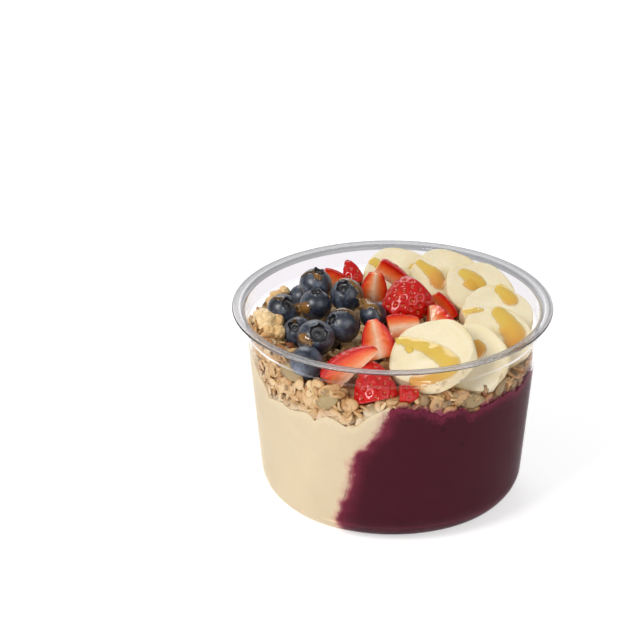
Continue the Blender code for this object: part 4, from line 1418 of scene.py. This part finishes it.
class BOWL_OT_granola(bpy.types.Operator):
    """Heap the granola: packed middle, oat flakes, slivers, grains, seeds, clusters and crumbs"""
    bl_idname = "bowl.granola"
    bl_label = "Granola"

    def execute(self, context):
        sizes, colours = settings()
        oat = tuple(colours.oat)
        heap = Heap(fruit_pieces().values())
        draw = random.Random(GRANOLA_SEED)
        long = sizes.flake_length
        kinds = {
            "oat_flake": [flake_template(draw, long * s, long * s * draw.uniform(0.68, 0.82), 1.25 * MM,
                                         draw.uniform(-0.10, 0.16)) for s in FLAKE_SIZES],
            "oat_sliver": [sliver_template(draw) for _ in range(4)],
            "grain": [grain_template(draw) for _ in range(5)],
            "pumpkin_seed": [pumpkin_seed_template() for _ in range(2)],
            "roasted_bit": [crumb_template(draw, 2.1) for _ in range(4)],
            "cluster": [nodule_template(draw) for _ in range(5)],
            "crumb": [crumb_template(draw, 0.9) for _ in range(4)],
        }
        items = {kind: [] for kind in kinds}

        def add(kind, place, normal, wet, tilt, turn=None, size=1.0, depth_shade=0.0):
            """Depth shade is painted shade: it makes the bits that lie deeper darker and browner."""
            which = draw.randrange(len(kinds[kind]))
            # tint: random tone from piece to piece, painted shade on deeper bits, and darker where acai
            # wets them
            tint = min(1.0, 0.60 * draw.random() + depth_shade + (0.35 if wet > 0 else 0.0))
            items[kind].append((which, oriented(place, normal, draw, tilt, turn, size), tint, wet))

        for kind, bits in WALL_BITS.items():
            for azimuth, height, turn, size in bits:
                flat, z = radial(azimuth), height * MM
                inset = 2.0 * MM * size if kind in ("grain", "roasted_bit") else 0.8 * MM
                wet = heap.wet(azimuth, heap.band(azimuth)[0])
                add(kind, on_wall(azimuth, z, inset), flat, wet, 4, turn, size)
        for kind, bits in TOP_BITS.items():
            unit = MM if kind == "cluster" else 1.0
            for x, y, z, turn, size in bits:
                add(kind, Vector((x, y, z)) * MM, TOP_NORMAL, 0.0, 12, turn, size * unit)

        scale = sizes.flake_count / 100.0
        for side, kind, spacing, (near, far), tilt in WALL_LAYERS:
            for place, flat, wet in wall_places(draw, heap, int(WALL_TRIES * scale), spacing * MM,
                                                (near * MM, far * MM), side):
                # painted shade: the layers that lie deeper behind the wall get a browner, darker tint
                add(kind, place, flat, wet, tilt, depth_shade=0.20 * (near - 0.5))
        for side, spacing in CRUMB_LAYERS:
            for place, flat, wet in wall_places(draw, heap, int(CRUMB_TRIES * scale), spacing * MM,
                                                (1.6 * MM, 3.0 * MM), side):
                add("crumb", place, flat, wet, 60)
        for kind, spacing, (low, high), tilt in TOP_LAYERS:
            for place, normal, wet in top_places(draw, heap, int(TOP_TRIES * scale), spacing * MM,
                                                 (low * MM, high * MM)):
                add(kind, place, normal, wet, tilt)

        # the packed middle is coloured near-black brown as painted shade in the gaps between the bits and
        # the fruit
        granola_core(toasted("granola_core", (0.20, 0.105, 0.042), (0.12, 0.06, 0.024),
                             (0.06, 0.028, 0.011)))
        pale, brown = (0.84, 0.64, 0.37), (0.36, 0.165, 0.05)
        finishes = {
            "oat_flake": toasted("oat_flake", pale, oat, brown, oval=(3.9, 2.8)),
            "oat_sliver": toasted("oat_sliver", (0.82, 0.60, 0.33), (0.66, 0.42, 0.18), brown),
            "grain": toasted("grain", (0.56, 0.37, 0.17), (0.36, 0.23, 0.105), (0.20, 0.125, 0.06)),
            "pumpkin_seed": toasted("pumpkin_seed", (0.42, 0.32, 0.15), (0.32, 0.225, 0.095),
                                    (0.22, 0.12, 0.045), 0.35, oval=(5.6, 3.4)),
            "roasted_bit": toasted("roasted_bit", (0.36, 0.12, 0.035), (0.26, 0.075, 0.02),
                                   (0.12, 0.035, 0.012), 0.4),
            "cluster": toasted("cluster", (0.94, 0.76, 0.48), (0.86, 0.56, 0.24), (0.52, 0.23, 0.065), 0.7),
            "crumb": toasted("crumb", (0.66, 0.46, 0.22), (0.50, 0.31, 0.13), (0.26, 0.13, 0.045)),
        }
        for kind, shapes in kinds.items():
            scattered("granola_" + kind + "s", shapes, fitted(items[kind], shapes), finishes[kind],
                      "granola", "granola")
        return {"FINISHED"}


# ---- honey -----------------------------------------------------------------------------------------
# Each thread names a solid and then the points it runs through on it: (place, half width in mm, how
# deep its amber is). On a slice the place is mm across and up its face from the middle; on a berry
# it is the direction from the middle.
HONEY = (
    ("banana_slice_1", (-13.0, 8.0, 1.2, 0.1), (-10.5, 8.0, 1.7, 0.1), (-7.5, 6.2, 1.9, 0.15),
     (-2.5, 3.0, 2.2, 0.2), (3.0, -2.2, 2.6, 0.2), (6.5, -7.5, 2.9, 0.25), (5.6, -11.2, 2.6, 0.5),
     (-1.0, -13.0, 2.4, 0.8), (-8.6, -12.4, 1.8, 0.9)),
    ("banana_slice_1", (-8.7, 5.2, 1.2, 0.15), (-7.2, 0.8, 0.9, 0.15)),
    ("banana_slice_2", (1.5, 7.0, 0.8, 0.6), (3.6, 3.2, 1.4, 0.9), (2.0, -0.5, 1.0, 0.9)),
    ("banana_slice_3", (-2.1, 11.3, 1.8, 0.2), (0.4, 9.8, 2.4, 0.25), (3.2, 6.0, 3.0, 0.35),
     (5.0, 1.5, 3.3, 0.7), (5.6, -3.2, 3.0, 0.9), (4.6, -8.0, 2.2, 0.9)),
    ("banana_slice_3", (-13.0, 8.6, 1.1, 0.4), (-9.5, 10.2, 1.2, 0.4), (-5.0, 11.4, 0.7, 0.3)),
    ("banana_slice_4", (-0.5, 13.0, 1.4, 0.2), (0.8, 12.2, 1.9, 0.2), (2.8, 10.2, 2.3, 0.3),
     (5.0, 7.2, 2.6, 0.6), (6.2, 4.6, 2.0, 0.7)),
    ("banana_slice_5", (-8.6, 7.0, 1.3, 0.2), (-6.0, 6.2, 1.9, 0.2), (-3.4, 4.4, 2.6, 0.35),
     (-0.6, 2.6, 2.2, 0.5), (1.8, 1.2, 1.2, 0.5)),
    ("banana_slice_5", (-4.8, 4.0, 2.2, 0.4), (-3.6, 0.8, 2.2, 0.6), (-3.2, -1.8, 1.3, 0.6)),
    ("banana_slice_6", (-11.0, 6.2, 1.4, 0.2), (-9.0, 4.6, 1.7, 0.2), (-6.5, 2.4, 1.9, 0.35),
     (-4.0, -0.3, 2.2, 0.7), (-3.2, -3.8, 2.8, 0.9), (-4.3, -6.9, 2.4, 0.95)),
    ("banana_slice_7", (-11.0, 6.0, 1.4, 0.1), (-8.0, 4.2, 1.7, 0.15), (-6.0, 2.3, 1.4, 0.2)),
    ("banana_slice_7", (6.2, 5.3, 0.9, 0.2), (4.7, 2.2, 1.0, 0.3)),
    ("blueberry_01", (-0.9, 0.0, 0.42, 0.6, 1.7), (-0.72, -0.1, 0.69, 0.7, 1.7),
     (-0.45, -0.15, 0.88, 0.8, 1.7), (-0.12, -0.25, 0.96, 0.7, 1.7)),
    ("blueberry_01", (-0.05, -0.2, 0.98, 0.7, 1.6), (0.02, -0.45, 0.89, 0.9, 1.5),
     (0.22, -0.62, 0.75, 0.9, 1.5), (0.12, -0.8, 0.58, 0.7, 1.6)),
    ("blueberry_02", (-0.58, 0.2, 0.8, 0.6, 1.6), (-0.17, 0.25, 0.95, 0.9, 1.5),
     (0.29, -0.05, 0.95, 1.0, 1.5), (0.62, -0.4, 0.68, 1.0, 1.5), (0.84, -0.48, 0.25, 1.1, 1.5),
     "blueberry_06", (-0.45, 0.05, 0.88, 1.7, 1.4), (-0.1, -0.3, 0.95, 1.0, 1.5),
     (0.33, -0.61, 0.72, 0.7, 1.6), (0.55, -0.8, 0.22, 0.6, 1.7)),
    ("blueberry_03", (-0.9, -0.4, 0.12, 1.1, 1.5), (-0.6, -0.78, 0.1, 1.8, 1.4),
     (-0.28, -0.95, 0.06, 1.5, 1.5)),
    ("blueberry_04", (-0.6, 0.0, 0.8, 0.6, 1.7), (-0.17, -0.33, 0.93, 0.8, 1.6),
     (0.1, -0.2, 0.97, 0.6, 1.7)),
    ("blueberry_05", (-0.54, 0.1, 0.84, 0.8, 1.7), (-0.07, 0.12, 0.98, 1.0, 1.6),
     (0.38, 0.0, 0.92, 1.1, 1.6), (0.72, -0.28, 0.63, 0.9, 1.6), (0.86, -0.38, 0.3, 0.6, 1.7)),
    ("blueberry_09", (-0.9, -0.35, 0.25, 0.9, 1.5), (-0.66, -0.68, 0.3, 1.4, 1.4),
     (-0.4, -0.88, 0.22, 1.1, 1.5), (-0.15, -0.98, 0.05, 0.6, 1.6)),
    ("blueberry_08", (-0.35, -0.3, 0.88, 0.7, 1.6), (-0.05, -0.1, 0.99, 0.8, 1.6)),
)
SPREAD = (1.50, 1.45)  # how much wider than stated a thread runs on a berry and on a slice
HONEY_GAP = 5 * MM  # fruit farther than this from a thread's place doesn't carry it
POUR = Vector((0.0, 0.907, -0.421))  # honey is laid on whatever fruit comes first along this line


def honey_anchor(node, place, everything, pieces):
    """Where a thread of honey touches the fruit, and the fruit's normal there."""
    middle = middle_of(node)
    if len(place) == 3:
        away = Vector(place).normalized()
        hit = pieces[node].ray_cast(middle + away * 20 * MM, -away)
        return hit[0], hit[1]
    normal = Vector(BANANA_CUTS[node][1]).normalized()
    right = (Vector((1, 0, 0)) - normal * normal.x).normalized()
    point = middle + normal * SLICE_THICKNESS / 2 + (right * place[0] + normal.cross(right) * place[1]) * MM
    for tree in (everything, pieces[node]):
        hit = tree.ray_cast(point - POUR * 25 * MM, POUR, 45 * MM)
        if hit[0] and (hit[0] - point).length < HONEY_GAP:
            return hit[0], hit[1]
    return point, normal


def along(values, share):
    """A value on a smooth line through evenly spaced values (Catmull-Rom)."""
    count = len(values) - 1
    x = min(max(share, 0.0), 1.0) * count
    i = min(int(x), count - 1)
    t = x - i
    p0, p1, p2, p3 = (values[min(max(i + k, 0), count)] for k in (-1, 0, 1, 2))
    return 0.5 * (2 * p1 + (p2 - p0) * t + (2 * p0 - 5 * p1 + 4 * p2 - p3) * t ** 2
                  + (3 * p1 - p0 - 3 * p2 + p3) * t ** 3)


def honey_thread(bm, anchors, everything, height, spread, seed):
    """Lay one thread: a ball drawn out along the line, domed above the fruit and thin at its edge."""
    points = [a[0] for a in anchors]
    normals = [a[1] for a in anchors]
    widths = [a[2] * MM for a in anchors]
    ambers = [a[3] for a in anchors]
    length = sum((q - p).length for p, q in zip(points, points[1:]))
    stations = max(14, int(length / (0.55 * MM)))
    before = set(bm.verts)
    bmesh.ops.create_uvsphere(bm, u_segments=18, v_segments=stations, radius=1.0)
    thick = bm.verts.layers.float["thick"]
    amber = bm.verts.layers.float["amber"]
    cache = {}
    for vert in bm.verts:
        if vert in before:
            continue
        share = math.acos(max(-1.0, min(1.0, vert.co.z))) / math.pi
        station = round(share * stations)
        if station not in cache:
            s = station / stations
            point, normal = along(points, s), along(normals, s).normalized()
            ahead = (along(points, min(s + 0.02, 1)) - along(points, max(s - 0.02, 0))).normalized()
            cap = 1.3 * along(widths, s) / max(length, 1e-6)
            ease = min(s, 1 - s) / max(min(cap, 0.5), 1e-6)
            end = math.sqrt(max(0.0, 1.0 - (1.0 - min(ease, 1.0)) ** 2))
            wave = 1.0 + 0.20 * noise.noise(Vector((s * length * 260.0, seed * 3.7, 0)))
            width = spread * along(widths, s) * end * wave
            side = ahead.cross(normal).normalized()
            cache[station] = (point, normal, side, width, end, along(ambers, s))
        point, normal, side, width, end, deep = cache[station]
        angle = math.atan2(vert.co.y, vert.co.x)
        offset, rise = math.cos(angle), math.sin(angle)
        if share < 1e-3 or share > 1 - 1e-3:
            offset, rise = 0.0, 0.0
        row = 3.0 if offset > 0 else 9.0  # the two edges wander apart
        edge = 1.0 + 0.12 * noise.noise(Vector((share * length * 400.0, seed * 5.1, row)))
        probe = point + side * offset * width * edge
        base = everything.ray_cast(probe + normal * 4 * MM, -normal, 8 * MM)[0] or probe
        tall = height * (width / (2.0 * MM)) ** 0.6
        lift = tall * rise ** 1.7 if rise > 0 else 0.35 * MM * rise
        vert.co = base + normal * (lift + 0.02 * MM)
        vert[thick] = max(rise, 0.0) * end
        vert[amber] = deep / 2.0


def honey_finish():
    """Honey: clear at its thin edge, ochre over pale fruit and brown where it lies on dark fruit."""
    syrup = Finish("honey", Roughness=0.08, Specular_IOR_Level=0.6, Coat_Weight=0.6, Coat_Roughness=0.02)
    thick = syrup.attribute("thick")
    amber = syrup.plus(syrup.attribute("amber"),
                        syrup.times(syrup.maths("SUBTRACT", syrup.noise(240.0, 3.0), 0.5), 0.25))
    syrup.colour(syrup.ramp(amber, (0.05, (0.86, 0.62, 0.10)), (0.28, (0.86, 0.51, 0.07)),
                            (0.48, (0.80, 0.36, 0.06)), (0.80, (0.10, 0.052, 0.016))))
    syrup.bump(syrup.noise(330.0, 2.0, 0.4), 0.25 * MM, 0.5)
    cover = syrup.ramp(thick, (0.10, 0.0), (0.40, 0.32), (0.75, 0.72), (1.0, 0.84))
    through = syrup.put("BsdfTransparent")
    syrup.show_mix(cover, through.outputs[0], syrup.shader.outputs[0])
    return syrup.material


class BOWL_OT_honey(bpy.types.Operator):
    """Pour threads, drops and pools of honey over the fruit"""
    bl_idname = "bowl.honey"
    bl_label = "Honey"

    def execute(self, context):
        sizes = settings()[0]
        objects = fruit_pieces()
        pieces = {node: tree_of(piece) for node, piece in objects.items()}
        everything = tree_of(*objects.values())
        bm = bmesh.new()
        bm.verts.layers.float.new("thick")
        bm.verts.layers.float.new("amber")
        for seed, thread in enumerate(HONEY):
            anchors = []
            for part in thread:
                if isinstance(part, str):
                    node = part
                else:
                    *place, width, deep = part
                    anchors.append((*honey_anchor(node, place, everything, pieces), width, deep))
            spread = SPREAD[thread[0].startswith("banana")]
            honey_thread(bm, anchors, everything, sizes.honey_height, spread, seed)
        bmesh.ops.recalc_face_normals(bm, faces=bm.faces)
        finish_piece("honey", bm, honey_finish(), "banana")
        return {"FINISHED"}


# ---- stage -----------------------------------------------------------------------------------------
LAMPS = (  # name, place (m), size (m), power (W), colour
    ("key", (-0.75, -0.70, 0.95), 0.55, 11.4, (1.0, 0.98, 0.95)),
    ("fill", (0.8, -1.1, 0.9), 1.1, 7.6, (0.98, 0.99, 1.0)),
    ("back", (-0.2, 1.0, 0.9), 0.7, 4.0, (1.0, 1.0, 1.0)),
)
LAMP_AIM = Vector((0, 0, 0.05))
SKY_STRENGTH = 0.26
CAMERA_PLACE = (-0.02639, -1.15850, 0.60550)
CAMERA_TILT = math.radians(65.12)
CAMERA_LENS = 196.875
TABLE_REACH = 3.0
TABLE_BEND = 1.0  # behind this the table curves up into a backdrop


class BOWL_OT_stage(bpy.types.Operator):
    """Set the white table, the soft lights and the camera"""
    bl_idname = "bowl.stage"
    bl_label = "Stage"

    def execute(self, context):
        scene = context.scene
        bm = bmesh.new()
        bmesh.ops.create_grid(bm, x_segments=24, y_segments=24, size=TABLE_REACH)
        for vert in bm.verts:
            if vert.co.y > TABLE_BEND:
                vert.co.z = 0.35 * (vert.co.y - TABLE_BEND) ** 2
        mesh = baked("table", bm)
        mesh.polygons.foreach_set("use_smooth", [True] * len(mesh.polygons))
        paper = Finish("white_table", Base_Color=(0.80, 0.80, 0.80), Roughness=0.75,
                       Emission_Color=(1.0, 1.0, 1.0), Emission_Strength=0.55)
        paper.rough(paper.noise(8.0), 0.7, 0.8)
        mesh.materials.append(paper.material)
        table = linked("table", mesh)

        world = bpy.data.worlds.new("studio")
        world.use_nodes = True
        sky = world.node_tree.nodes["Background"].inputs
        sky["Color"].default_value = (1.0, 1.0, 1.0, 1.0)
        sky["Strength"].default_value = SKY_STRENGTH
        scene.world = world
        for name, place, size, power, colour in LAMPS:
            light = bpy.data.lights.new(name, "AREA")
            light.size = size
            light.energy = power
            light.color = colour
            lamp = linked(name, light)
            lamp.location = place
            lamp.rotation_euler = (LAMP_AIM - Vector(place)).to_track_quat("-Z", "Y").to_euler()

        camera_data = bpy.data.cameras.new("camera")
        camera_data.sensor_width = 36.0
        camera_data.lens = CAMERA_LENS
        camera_data.clip_start = 0.01
        camera = linked("camera", camera_data)
        camera.location = CAMERA_PLACE
        camera.rotation_euler = (CAMERA_TILT, 0.0, 0.0)
        scene.camera = camera
        scene.view_settings.view_transform = "Standard"
        return {"FINISHED"}


class BOWL_PT_panel(bpy.types.Panel):
    """Lists the pieces of the bowl and the sizes and colours that shape them"""
    bl_idname = "BOWL_PT_panel"
    bl_label = "Acai bowl"
    bl_space_type = "VIEW_3D"
    bl_region_type = "UI"
    bl_category = "Acai bowl"

    def draw(self, context):
        layout = self.layout
        for group in (context.scene.bowl_sizes, context.scene.bowl_colours):
            for key in group.__annotations__:
                layout.prop(group, key)
        for operator in PIECES:
            layout.operator(operator.bl_idname)


PIECES = (BOWL_OT_tub, BOWL_OT_blends, BOWL_OT_blueberries, BOWL_OT_strawberries, BOWL_OT_banana,
          BOWL_OT_granola, BOWL_OT_honey, BOWL_OT_stage)
CLASSES = (BowlSizes, BowlColours) + PIECES + (BOWL_PT_panel,)


def register():
    for cls in CLASSES:
        bpy.utils.register_class(cls)
    bpy.types.Scene.bowl_sizes = PointerProperty(type=BowlSizes)
    bpy.types.Scene.bowl_colours = PointerProperty(type=BowlColours)


def unregister():
    del bpy.types.Scene.bowl_sizes
    del bpy.types.Scene.bowl_colours
    for cls in reversed(CLASSES):
        bpy.utils.unregister_class(cls)


def main():
    register()
    for operator in PIECES:
        group, call = operator.bl_idname.split(".")
        if getattr(getattr(bpy.ops, group), call)() != {"FINISHED"}:
            raise RuntimeError("the step " + operator.bl_label + " didn't finish")


if __name__ == "__main__":
    main()
